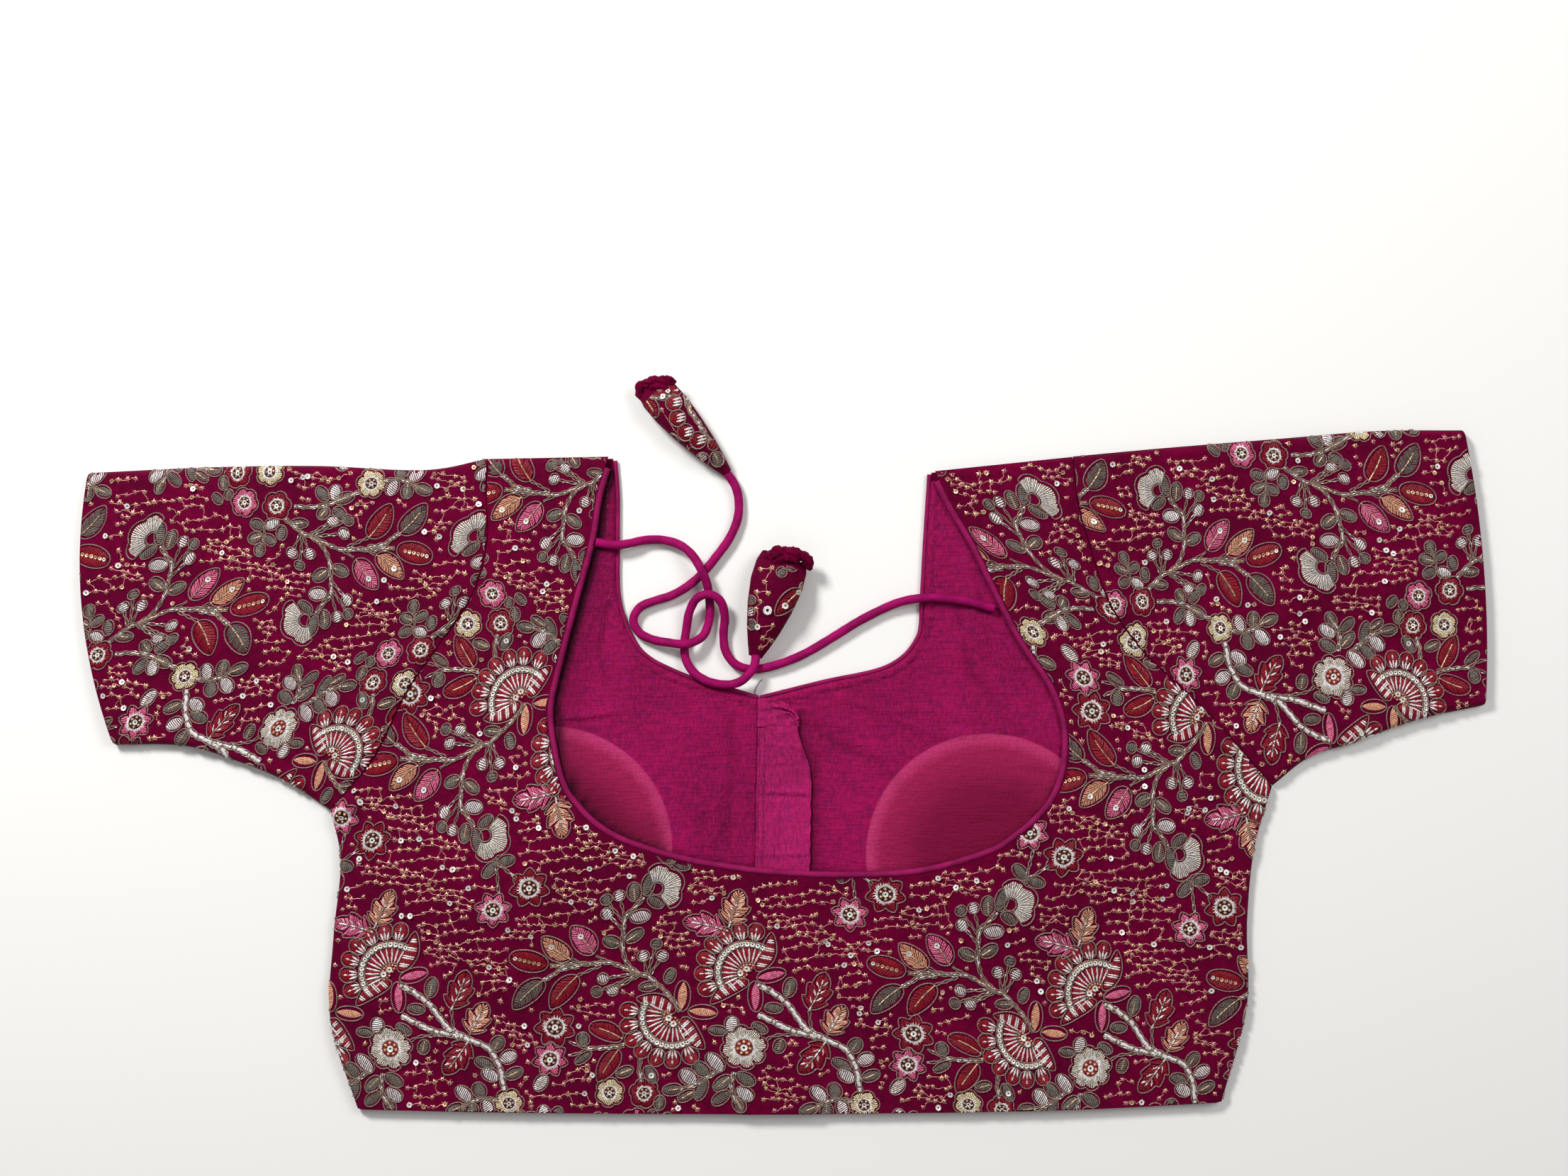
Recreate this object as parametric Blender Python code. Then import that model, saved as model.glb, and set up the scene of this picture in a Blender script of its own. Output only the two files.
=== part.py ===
"""A choli blouse laid flat on a table with its back side up.

The two fronts lie on the table, then their bust pads and lining, then the back.
Every layer is a cloth wall on the same height functions, so what lies on a panel
follows it. -X is the wearer's left, +Y points to the neck, and Z = 0 is the table.
"""

import math
from collections import namedtuple

import bmesh
import bpy
from mathutils import Vector

# ---- Cloth, gaps and heights, in metres ------------------------------------
CLOTH = 0.0012              # embroidered outer cloth
LINING = 0.0010             # plain lining and the hook placket
GAP = 0.0003                # air between two pieces that touch
AIR = 0.0016                # looseness between the lining and the back
ROLL = 0.0035               # how far in from a closed seam the cloth rounds over
FOLD_FADE = 0.020           # how far in from a sleeve's fold its inside is narrower
SEAM_Z = CLOTH + GAP        # height of the back where it meets the front
SLEEVE_SHIFT = (0.00035, 0.0002)   # how far a sleeve stands off its armhole, out and up
LINING_FROM_SEAM = 0.0055

PIPING_RADIUS = 0.0016      # corded edge of the back neck
EDGING_RADIUS = 0.0011      # narrow edge of the front neck
EDGING_LIFT = 0.0001
DORI_RADIUS = 0.0023
DORI_POINTS = {"left": 38, "right": 42}

PAD_RADIUS = 0.062
PAD_EDGE = 0.0008
PAD_CROWN = 0.0062
PAD_RINGS = (0.3, 0.55, 0.78, 0.93, 1.0)
PAD_SIDES = 32
PADS = {"left": (-0.1187, -0.0389), "right": (0.1042, -0.0425)}
COVER_LOOSENESS = 0.0008    # lining over a pad
COVER_REACH = 1.45          # where the lining is flat again, in pad radii

PLACKET_WIDTH = 0.0270
PLACKET_TOP = 0.0234
PLACKET_FOOT = -0.1690
PLACKET_ROWS = 8
PLACKET_SKIRT = (0.003, 0.010)      # what lies on it comes down between these distances

# ---- Sections ---------------------------------------------------------------
# One row is a section across half of the body: its outer end on the armhole or
# the side seam, the front's inner end on the neck or the centre front, and the
# back's inner end on the back neck. The last row is the hem's corner.
Section = namedtuple("Section", "edge_x edge_y front_x front_y neck_x neck_y")
UNDERARM = 7                # row where the armhole ends and the side seam begins
V_POINT = 7                 # row where the front neck ends and the opening begins
BODY = {
    "left": [
        Section(-0.1506, 0.1597, -0.0860, 0.1600, -0.0878, 0.1604),
        Section(-0.1514, 0.1408, -0.0846, 0.1408, -0.0937, 0.1408),
        Section(-0.1510, 0.1172, -0.0846, 0.1161, -0.0976, 0.1172),
        Section(-0.1586, 0.0900, -0.0835, 0.0863, -0.1060, 0.0863),
        Section(-0.1761, 0.0638, -0.0733, 0.0624, -0.1140, 0.0555),
        Section(-0.1924, 0.0399, -0.0534, 0.0504, -0.1187, 0.0319),
        Section(-0.2090, 0.0065, -0.0327, 0.0439, -0.1158, 0.0094),
        Section(-0.2312, -0.0197, -0.0127, 0.0377, -0.1107, -0.0073),
        Section(-0.2261, -0.0462, -0.0134, 0.0029, -0.1042, -0.0164),
        Section(-0.2298, -0.0843, -0.0142, -0.0407, -0.0962, -0.0247),
        Section(-0.2312, -0.1278, -0.0152, -0.1060, -0.0853, -0.0320),
        Section(-0.2174, -0.1721, -0.0163, -0.1736, -0.0726, -0.0374),
    ],
    "right": [
        Section(0.1477, 0.1608, 0.0748, 0.1528, 0.0762, 0.1528),
        Section(0.1499, 0.1390, 0.0737, 0.1364, 0.0842, 0.1364),
        Section(0.1561, 0.1154, 0.0722, 0.1125, 0.0969, 0.1147),
        Section(0.1659, 0.0871, 0.0708, 0.0882, 0.1093, 0.0892),
        Section(0.1790, 0.0664, 0.0686, 0.0682, 0.1216, 0.0657),
        Section(0.1960, 0.0490, 0.0534, 0.0537, 0.1361, 0.0442),
        Section(0.2189, 0.0275, 0.0200, 0.0457, 0.1430, 0.0239),
        Section(0.2497, -0.0073, -0.0120, 0.0377, 0.1427, 0.0036),
        Section(0.2407, -0.0389, -0.0127, 0.0029, 0.1372, -0.0117),
        Section(0.2370, -0.0770, -0.0135, -0.0407, 0.1285, -0.0226),
        Section(0.2367, -0.1206, -0.0145, -0.1060, 0.1180, -0.0313),
        Section(0.2240, -0.1685, -0.0156, -0.1736, 0.1042, -0.0396),
    ],
}
# Sections of the back from the hem up to the neck, between the two hem corners.
HemSection = namedtuple("HemSection", "hem_x hem_y neck_x neck_y")
HEM = [
    HemSection(-0.1470, -0.1736, -0.0555, -0.0429),
    HemSection(-0.0744, -0.1743, -0.0309, -0.0480),
    HemSection(0.0000, -0.1744, 0.0000, -0.0512),
    HemSection(0.0744, -0.1738, 0.0345, -0.0523),
    HemSection(0.1488, -0.1723, 0.0708, -0.0494),
]
# Where the sections are cut, in rows of the table: close together by the
# shoulder and the underarm, where the cloth rolls over.
ARM_STEPS = (0, 0.063, 0.18, 0.6, 1.2, 1.8, 2.4, 3, 3.6, 4.2, 5, 5.8, 6.5, 6.9, 6.966, 7)
SIDE_STEPS = (7.5, 8, 8.5, 9, 9.5, 10, 10.5, 11)
HEM_CUTS = 2                # cuts for each row of HEM
# The lining starts 5.5 mm under the shoulder and ends 8 mm over the hem.
LINING_STEPS = (0.28,) + ARM_STEPS[3:] + SIDE_STEPS[:-1] + (10.83,)
LINING_COLUMNS = 11
FRONT_COLUMNS = 6

# One row is a section of a sleeve, from cuff to armhole: its folded top edge,
# its lower edge and its height.
Ring = namedtuple("Ring", "share top_x top_y low_x low_y height")
SLEEVES = {
    "left": [
        Ring(0.00, -0.3539, 0.1524, -0.3412, 0.0137, 0.0060),
        Ring(0.30, -0.2922, 0.1553, -0.3060, 0.0130, 0.0068),
        Ring(0.55, -0.2378, 0.1560, -0.2795, 0.0054, 0.0068),
        Ring(0.80, -0.1833, 0.1539, -0.2541, -0.0051, 0.0060),
        Ring(1.00, -0.1506, 0.1597, -0.2312, -0.0197, 0.0053),
    ],
    "right": [
        Ring(0.00, 0.3467, 0.1742, 0.3576, 0.0337, 0.0060),
        Ring(0.30, 0.3031, 0.1738, 0.3242, 0.0264, 0.0068),
        Ring(0.55, 0.2523, 0.1698, 0.2904, 0.0145, 0.0068),
        Ring(0.80, 0.1942, 0.1651, 0.2686, 0.0072, 0.0060),
        Ring(1.00, 0.1477, 0.1608, 0.2497, -0.0073, 0.0053),
    ],
}
CUFF_BOW = {"left": 0.0095, "right": 0.0045}
RING_SHARES = (0, 0.08, 0.18, 0.3, 0.42, 0.54, 0.66, 0.77, 0.87, 0.94, 1)

# One row is a fold of the upper cloth: a soft ridge between two places.
Fold = namedtuple("Fold", "from_x from_y to_x to_y half_width height")
FOLD_END = (4, 0.3)         # how fast a fold rises from its ends, and where it starts
FOLDS = [
    Fold(0.1560, 0.1344, 0.1800, 0.0574, 0.0080, 0.0016),
    Fold(0.1850, 0.0514, 0.2300, 0.0094, 0.0085, 0.0022),
    Fold(-0.2140, -0.0106, -0.2270, -0.0216, 0.0060, 0.0024),
    Fold(-0.1620, 0.0964, -0.2000, 0.0344, 0.0100, 0.0012),
    Fold(-0.3100, 0.0714, -0.2300, 0.0574, 0.0220, 0.0014),
    Fold(0.3200, 0.0894, 0.2350, 0.0914, 0.0220, 0.0014),
    Fold(-0.1900, -0.1386, -0.1500, -0.0586, 0.0160, 0.0012),
    Fold(0.2000, -0.1486, 0.1800, -0.0686, 0.0160, 0.0012),
    Fold(-0.0300, -0.1736, -0.0200, -0.1186, 0.0180, 0.0012),
    Fold(0.0900, -0.1736, 0.0850, -0.1236, 0.0180, 0.0010),
]

# ---- Tie cords: hand-set routes from the back neck, over the front's lining,
# through the knot and into the tassel.
ROUTES = {
    "left": [
        (-0.0955, 0.1172, 0.0051), (-0.0897, 0.1161, 0.0051), (-0.0839, 0.1157, 0.0051),
        (-0.0773, 0.1168, 0.0043), (-0.0701, 0.1183, 0.0027), (-0.0613, 0.1183, 0.0027),
        (-0.0526, 0.1157, 0.0043), (-0.0461, 0.1103, 0.0067), (-0.0417, 0.1030, 0.0080),
        (-0.0388, 0.0958, 0.0059), (-0.0378, 0.0889, 0.0034), (-0.0374, 0.0820, 0.0024),
        (-0.0385, 0.0747, 0.0025), (-0.0417, 0.0686, 0.0044), (-0.0494, 0.0653, 0.0079),
        (-0.0584, 0.0660, 0.0058), (-0.0668, 0.0675, 0.0030), (-0.0737, 0.0711, 0.0023),
        (-0.0766, 0.0776, 0.0023), (-0.0733, 0.0838, 0.0023), (-0.0661, 0.0871, 0.0023),
        (-0.0570, 0.0900, 0.0023), (-0.0483, 0.0951, 0.0023), (-0.0410, 0.1016, 0.0023),
        (-0.0338, 0.1103, 0.0023), (-0.0272, 0.1197, 0.0023), (-0.0232, 0.1299, 0.0023),
        (-0.0229, 0.1401, 0.0024), (-0.0254, 0.1477, 0.0029), (-0.0294, 0.1531, 0.0032),
    ],
    "right": [
        (0.1078, 0.0831, 0.0051), (0.0998, 0.0856, 0.0051), (0.0889, 0.0878, 0.0051),
        (0.0773, 0.0889, 0.0051), (0.0693, 0.0885, 0.0051), (0.0599, 0.0867, 0.0036),
        (0.0501, 0.0827, 0.0024), (0.0381, 0.0765, 0.0023), (0.0254, 0.0686, 0.0023),
        (0.0109, 0.0602, 0.0023), (-0.0025, 0.0548, 0.0023), (-0.0152, 0.0522, 0.0023),
        (-0.0243, 0.0548, 0.0023), (-0.0294, 0.0617, 0.0023), (-0.0305, 0.0707, 0.0024),
        (-0.0298, 0.0791, 0.0040), (-0.0319, 0.0871, 0.0076), (-0.0378, 0.0907, 0.0092),
        (-0.0443, 0.0882, 0.0078), (-0.0479, 0.0813, 0.0050), (-0.0494, 0.0733, 0.0026),
        (-0.0505, 0.0649, 0.0023), (-0.0497, 0.0573, 0.0028), (-0.0457, 0.0508, 0.0047),
        (-0.0388, 0.0464, 0.0055), (-0.0305, 0.0446, 0.0056), (-0.0229, 0.0457, 0.0069),
        (-0.0171, 0.0504, 0.0084), (-0.0145, 0.0551, 0.0064), (-0.0140, 0.0591, 0.0048),
    ],
}
# A tassel is a cone of rolled cloth: tip, centre of its wide end, widths and heights.
Tassel = namedtuple("Tassel", "tip_x tip_y end_x end_y wide high")
TASSELS = {
    "left": Tassel(-0.0298, 0.1540, -0.0672, 0.1964, 0.0200, 0.0150),
    "right": Tassel(-0.0138, 0.0604, 0.0005, 0.1094, 0.0270, 0.0160),
}
# share of the length, share of the width, share of the height
TASSEL_PROFILE = (
    (0.00, 0.30, 0.42), (0.08, 0.42, 0.56), (0.25, 0.64, 0.78), (0.48, 0.86, 0.94),
    (0.72, 1.00, 1.00), (0.90, 0.98, 0.92), (1.00, 0.86, 0.74),
)
TASSEL_SIDES = 16

COLOURS = {
    "outer": (0.247, 0.013, 0.093), "lining": (0.235, 0.008, 0.063),
    "pad": (0.300, 0.050, 0.110), "placket": (0.330, 0.018, 0.105),
    "cord": (0.300, 0.011, 0.105), "tassel": (0.190, 0.012, 0.040),
}


# ---- Curves through the tables ----------------------------------------------
def smooth(rows, at, corners=()):
    """The point at row number at on a Catmull-Rom curve that turns sharply at corners."""
    first = max([0] + [c for c in corners if c <= at])
    last = min([len(rows) - 1] + [c for c in corners if c > at])
    i = min(max(int(math.floor(at)), first), last - 1)
    t = at - i
    p1, p2 = Vector(rows[i]), Vector(rows[i + 1])
    p0 = Vector(rows[i - 1]) if i > first else 2 * p1 - p2
    p3 = Vector(rows[i + 2]) if i + 2 <= last else 2 * p2 - p1
    return 0.5 * (2 * p1 + (p2 - p0) * t + (2 * p0 - 5 * p1 + 4 * p2 - p3) * t * t
                  + (3 * p1 - p0 - 3 * p2 + p3) * t ** 3)


def edge(side, at):
    """The armhole, then the side seam down to the hem's corner."""
    return smooth([(s.edge_x, s.edge_y) for s in BODY[side]], at, (UNDERARM,))


def front_inner(side, at):
    """The front neck down to its V, then the centre front."""
    return smooth([(s.front_x, s.front_y) for s in BODY[side]], at, (V_POINT,))


def opening_x(y):
    """The centre front, on the right front's edge, at a place up or down it."""
    top, foot = BODY["right"][V_POINT], BODY["right"][-1]
    share = (top.front_y - y) / (top.front_y - foot.front_y)
    return top.front_x + (foot.front_x - top.front_x) * min(max(share, 0), 1)


def back_columns():
    """(neck, outer end) of each section of the back, from left shoulder to right shoulder."""
    necks = {side: [(s.neck_x, s.neck_y) for s in BODY[side]] for side in BODY}
    neck = necks["left"] + [(s.neck_x, s.neck_y) for s in HEM] + necks["right"][::-1]
    corners = [(s.edge_x, s.edge_y) for s in (BODY["left"][-1], BODY["right"][-1])]
    hem = [corners[0]] + [(s.hem_x, s.hem_y) for s in HEM] + [corners[1]]
    steps = ARM_STEPS + SIDE_STEPS
    last = len(BODY["left"]) - 1
    columns = [(smooth(neck, at), edge("left", at)) for at in steps]
    for k in range(1, HEM_CUTS * (len(hem) - 1)):
        columns.append((smooth(neck, last + k / HEM_CUTS), smooth(hem, k / HEM_CUTS)))
    total = len(neck) - 1
    columns += [(smooth(neck, total - at), edge("right", at)) for at in reversed(steps)]
    return columns


def normals(line):
    """Unit normals in the plane, to the right of the line's run."""
    out = []
    for i in range(len(line)):
        run = line[min(i + 1, len(line) - 1)] - line[max(i - 1, 0)]
        out.append(Vector((run.y, -run.x)).normalized())
    return out


# ---- Heights ----------------------------------------------------------------
def ease(x):
    x = min(max(x, 0.0), 1.0)
    return x * x * (3 - 2 * x)


def segment_distance(p, a, b):
    run = b - a
    t = min(max((p - a).dot(run) / max(run.length_squared, 1e-12), 0.0), 1.0)
    return (p - a - run * t).length, t


def closed_seams():
    """Shoulder and side seams, where the back meets the fronts."""
    seams = []
    for side in BODY:
        shoulder = BODY[side][0]
        seams.append([Vector((shoulder.neck_x, shoulder.neck_y)), edge(side, 0)])
        seams.append([edge(side, at) for at in (UNDERARM,) + SIDE_STEPS])
    return seams


SEAMS = closed_seams()


def from_seam(p):
    return min(segment_distance(p, a, b)[0] for seam in SEAMS for a, b in zip(seam, seam[1:]))


def rolled(distance, reach=ROLL):
    """0 at a folded edge, rising as a quarter round to 1."""
    t = min(max(distance / reach, 0.0), 1.0)
    return math.sqrt(1 - (1 - t) ** 2)


def pad_height(share):
    return PAD_EDGE + PAD_CROWN * (1 - share * share)


def pad_cover(p):
    """How far a pad lifts the lining."""
    lift = 0.0
    for centre in PADS.values():
        share = (p - Vector(centre)).length / PAD_RADIUS
        inside = pad_height(min(share, 1.0)) + COVER_LOOSENESS
        lift = max(lift, inside * ease((COVER_REACH - share) / (COVER_REACH - 1)))
    return lift


def placket_lift(p):
    """How far the hook placket lifts what lies on it."""
    left = opening_x(p.y)
    outside = max(left - p.x, p.x - left - PLACKET_WIDTH, p.y - PLACKET_TOP)
    near, far = PLACKET_SKIRT
    return (GAP + LINING) * ease((far - outside) / (far - near))


def lining_low(p):
    return CLOTH + GAP + pad_cover(p)


def inside_top(p):
    """The highest of what lies on the fronts."""
    return lining_low(p) + LINING + placket_lift(p)


def fold_lift(p):
    lift = 0.0
    for f in FOLDS:
        away, t = segment_distance(p, Vector((f.from_x, f.from_y)), Vector((f.to_x, f.to_y)))
        if away < f.half_width:
            ends = ease(min(t, 1 - t) * FOLD_END[0] + FOLD_END[1])
            lift = max(lift, f.height * ends * ease(1 - away / f.half_width))
    return lift


def back_low(p):
    share = rolled(from_seam(p))
    return SEAM_Z + (inside_top(p) + AIR - SEAM_Z) * share + fold_lift(p) * share


# ---- Building ---------------------------------------------------------------
def clear_scene():
    for obj in list(bpy.data.objects):
        bpy.data.objects.remove(obj, do_unlink=True)


def material(name, roughness=0.8):
    mat = bpy.data.materials.get(name) or bpy.data.materials.new(name)
    mat.use_nodes = True
    shader = mat.node_tree.nodes["Principled BSDF"]
    shader.inputs["Base Color"].default_value = (*COLOURS[name], 1)
    shader.inputs["Roughness"].default_value = roughness
    shader.inputs["Metallic"].default_value = 0.0
    return mat


def add(name, data, finish):
    data.materials.append(material(finish))
    obj = bpy.data.objects.new(name, data)
    bpy.context.scene.collection.objects.link(obj)
    return obj


def finish_mesh(name, bm, finish):
    bmesh.ops.recalc_face_normals(bm, faces=bm.faces)
    mesh = bpy.data.meshes.new(name)
    bm.to_mesh(mesh)
    bm.free()
    mesh.shade_smooth()
    mesh.set_sharp_from_angle(angle=math.radians(40))
    return add(name, mesh, finish)


def wall(name, places, low, thickness, finish):
    """A cloth wall over a grid of places, from the height low(place) up by its thickness."""
    bm = bmesh.new()
    under = [[bm.verts.new((p.x, p.y, low(p))) for p in row] for row in places]
    over = [[bm.verts.new(v.co + Vector((0, 0, thickness))) for v in row] for row in under]
    for grid in (under, over):
        for a, b in zip(grid, grid[1:]):
            for i in range(len(a) - 1):
                bm.faces.new((a[i], a[i + 1], b[i + 1], b[i]))
    rim = [border(grid) for grid in (under, over)]
    for i in range(len(rim[0])):
        j = (i + 1) % len(rim[0])
        bm.faces.new((rim[0][i], rim[0][j], rim[1][j], rim[1][i]))
    return finish_mesh(name, bm, finish)


def border(grid):
    right = [row[-1] for row in grid[1:-1]]
    left = [row[0] for row in grid[1:-1]]
    return grid[0] + right + grid[-1][::-1] + left[::-1]


def tube(name, points, radius, finish, sides_step):
    """A cord: a round tube along a line of points, with closed ends."""
    data = bpy.data.curves.new(name, "CURVE")
    data.dimensions = "3D"
    data.bevel_depth = radius
    data.bevel_resolution = sides_step
    data.use_fill_caps = True
    spline = data.splines.new("POLY")
    spline.points.add(len(points) - 1)
    for slot, p in zip(spline.points, points):
        slot.co = (*p, 1)
    return add(name, data, finish)


def across(inner, outer, count):
    return [inner.lerp(outer, k / (count - 1)) for k in range(count)]


# ---- Pieces -----------------------------------------------------------------
EDGE_ROWS = (0.0, 0.0012, 0.0035, 0.009)     # distances in from a panel's outer edge
BACK_ROWS = 7                                # and rows from there to the neck


def back_column(inner, outer):
    run = outer - inner
    near = [outer - run.normalized() * d for d in EDGE_ROWS]
    return [inner.lerp(near[-1], k / BACK_ROWS) for k in range(BACK_ROWS)] + near[::-1]


def make_back():
    columns = back_columns()
    neck = [c[0] for c in columns]
    clear = PIPING_RADIUS + GAP
    # the neck runs anticlockwise round the opening, so the cloth is to its right
    inner = [p + n * clear for p, n in zip(neck, normals(neck))]
    places = [back_column(i, c[1]) for i, c in zip(inner, columns)]
    wall("back", places, back_low, CLOTH, "outer")
    points = [Vector((p.x, p.y, inside_top(p) + GAP + PIPING_RADIUS)) for p in neck]
    tube("piping_back", points[1:-1], PIPING_RADIUS, "cord", 1)


def front_sections(side, steps):
    """Inner and outer ends of the front's sections, clear of the neck's edging."""
    inner = [front_inner(side, at) for at in steps]
    turn = 1 if side == "left" else -1
    clear = [turn * (EDGING_RADIUS + GAP) * (at < V_POINT) for at in steps]
    moved = [p + n * c for p, n, c in zip(inner, normals(inner), clear)]
    return moved, [edge(side, at) for at in steps]


def make_front(side):
    ends = front_sections(side, ARM_STEPS + SIDE_STEPS)
    places = [across(a, b, FRONT_COLUMNS) for a, b in zip(*ends)]
    wall(f"front_{side}", places, lambda p: 0.0, CLOTH, "outer")

    lining = []
    for a, b in zip(*front_sections(side, LINING_STEPS)):
        lining.append(across(a, b - (b - a).normalized() * LINING_FROM_SEAM, LINING_COLUMNS))
    wall(f"lining_{side}", lining, lining_low, LINING, "lining")

    neck = [front_inner(side, at) for at in ARM_STEPS[1:] if at < V_POINT]
    points = [Vector((*p, EDGING_RADIUS + EDGING_LIFT)) for p in neck]
    tube(f"piping_front_{side}", points, EDGING_RADIUS, "cord", 1)


def make_pad(side):
    centre = Vector(PADS[side])
    base = CLOTH + GAP
    bm = bmesh.new()
    top = bm.verts.new((*centre, base + pad_height(0)))
    rings = []
    for share in PAD_RINGS:
        angles = [2 * math.pi * k / PAD_SIDES for k in range(PAD_SIDES)]
        radius = PAD_RADIUS * share
        z = base + pad_height(share)
        rings.append([bm.verts.new((centre.x + radius * math.cos(a),
                                    centre.y + radius * math.sin(a), z)) for a in angles])
    rings.append([bm.verts.new((v.co.x, v.co.y, base)) for v in rings[-1]])
    for k in range(PAD_SIDES):
        j = (k + 1) % PAD_SIDES
        bm.faces.new((top, rings[0][k], rings[0][j]))
        for a, b in zip(rings, rings[1:]):
            bm.faces.new((a[k], b[k], b[j], a[j]))
    bm.faces.new(rings[-1][::-1])
    finish_mesh(f"pad_{side}", bm, "pad")


def make_placket():
    places = []
    for k in range(PLACKET_ROWS):
        y = PLACKET_TOP + (PLACKET_FOOT - PLACKET_TOP) * k / (PLACKET_ROWS - 1)
        left = Vector((opening_x(y), y))
        places.append(across(left, left + Vector((PLACKET_WIDTH, 0)), 3))
    wall("hook_placket", places, lambda p: lining_low(p) + LINING + GAP, LINING, "placket")


def sleeve_line(side, share):
    """One section of a sleeve on the table: straight at the cuff, as the armhole at its head."""
    rows = SLEEVES[side]
    at = next(i for i in range(len(rows) - 1) if share <= rows[i + 1].share)
    at += (share - rows[at].share) / (rows[at + 1].share - rows[at].share)
    values = smooth([r[1:] for r in rows], at)
    top, low, height = Vector(values[0:2]), Vector(values[2:4]), values[4]
    head = [edge(side, step) for step in ARM_STEPS]
    chord = head[-1] - head[0]
    out = -1 if side == "left" else 1
    line = []
    for p in head:
        along = (p - head[0]).dot(chord) / chord.length_squared
        bend = p - head[0].lerp(head[-1], along)
        bow = Vector((out * CUFF_BOW[side] * 4 * along * (1 - along), 0))
        line.append(top.lerp(low, along) + bend * share ** 1.5 + bow * (1 - share) ** 2)
    shift = Vector((out * SLEEVE_SHIFT[0], SLEEVE_SHIFT[1]))
    return [p + shift for p in line], height


def sleeve_section(side, share):
    """Outer and inner points of a section, each as the upper and then the lower layer."""
    line, height = sleeve_line(side, share)
    outer, inner = ([], []), ([], [])
    for p in line:
        near, far = sorted((line[0], line[-1]), key=lambda end: (p - end).length)
        away = (p - near).length
        over = rolled(away)
        rise = fold_lift(p)
        outer[0].append((*p, SEAM_Z + (height - SEAM_Z + rise) * over))
        outer[1].append((*p, SEAM_Z * (1 - over)))
        # inside, the fold is one wall further in
        q = p + (far - p).normalized() * CLOTH * (1 - ease(away / FOLD_FADE))
        over = rolled(away - CLOTH) if away < ROLL else rolled(away)
        inner[0].append((*q, SEAM_Z + (height - CLOTH - SEAM_Z + rise) * over))
        inner[1].append((*q, SEAM_Z + (CLOTH - SEAM_Z) * over))
    return outer, inner


def around(up, low):
    """A loop of vertices from the two layers, which share a vertex at each fold."""
    return up + low[-2:0:-1]


def face(bm, corners):
    """A face without the corners that fall together."""
    kept = [v for k, v in enumerate(corners) if v is not corners[k - 1]]
    if len(kept) > 2:
        bm.faces.new(kept)


def make_sleeve(side):
    bm = bmesh.new()
    outer, inner = [], []
    for share in RING_SHARES:
        (out_up, out_low), (in_up, in_low) = sleeve_section(side, share)
        outer.append(around([bm.verts.new(p) for p in out_up],
                            [None] + [bm.verts.new(p) for p in out_low[1:-1]] + [None]))
        up = [bm.verts.new(p) for p in in_up[1:-1]]
        low = [bm.verts.new(p) for p in in_low[2:-2]]
        up = [up[0]] + up + [up[-1]]
        inner.append(around(up, [None, up[0]] + low + [up[-1], None]))
    count = len(outer[0])
    for i in range(count):
        j = (i + 1) % count
        for rings in (outer, inner):
            for a, b in zip(rings, rings[1:]):
                face(bm, (a[i], a[j], b[j], b[i]))
        for out, inn in ((outer[0], inner[0]), (outer[-1], inner[-1])):
            face(bm, (out[i], out[j], inn[j], inn[i]))
    finish_mesh(f"sleeve_{side}", bm, "outer")


def read_route(side):
    """Points at even steps along a smooth curve through the cord's route."""
    route = ROUTES[side]
    fine = [smooth(route, k / 12) for k in range(12 * (len(route) - 1))] + [Vector(route[-1])]
    lengths = [0.0]
    for a, b in zip(fine, fine[1:]):
        lengths.append(lengths[-1] + (b - a).length)
    count, points, at = DORI_POINTS[side], [], 0
    for k in range(count):
        want = lengths[-1] * k / (count - 1)
        while at < len(fine) - 2 and lengths[at + 1] < want:
            at += 1
        share = (want - lengths[at]) / max(lengths[at + 1] - lengths[at], 1e-9)
        points.append(fine[at].lerp(fine[at + 1], min(share, 1.0)))
    return points


def make_tassel(side):
    t = TASSELS[side]
    tip, end = Vector((t.tip_x, t.tip_y)), Vector((t.end_x, t.end_y))
    run = (end - tip).normalized()
    cross = Vector((-run.y, run.x))
    bm = bmesh.new()
    rings = []
    for share, width, height in TASSEL_PROFILE:
        middle = tip.lerp(end, share)
        half_w, half_h = t.wide * width / 2, t.high * height / 2
        ring = []
        for k in range(TASSEL_SIDES):
            a = 2 * math.pi * k / TASSEL_SIDES
            place = middle + cross * half_w * math.cos(a)
            ring.append(bm.verts.new((*place, half_h * (1 + math.sin(a)))))
        rings.append(ring)
    for a, b in zip(rings, rings[1:]):
        for i in range(TASSEL_SIDES):
            j = (i + 1) % TASSEL_SIDES
            bm.faces.new((a[i], a[j], b[j], b[i]))
    bm.faces.new(rings[0])
    bm.faces.new(rings[-1])
    finish_mesh(f"tassel_{side}", bm, "tassel")


def main():
    clear_scene()
    make_back()
    for side in ("left", "right"):
        make_front(side)
        make_pad(side)
        make_sleeve(side)
        tube(f"dori_{side}", read_route(side), DORI_RADIUS, "cord", 2)
        make_tassel(side)
    make_placket()


main()
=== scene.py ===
"""A choli blouse laid flat, back side up: the looks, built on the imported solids.

-X is the wearer's left, +Y points to the neck and Z = 0 is the table. Panels are
plan grids on height functions; the embroidery is charted once, in millimetres, as
one repeat of the cloth, and every copy of it is pinned to a panel and laid on it.
"""

import itertools
import math

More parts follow.
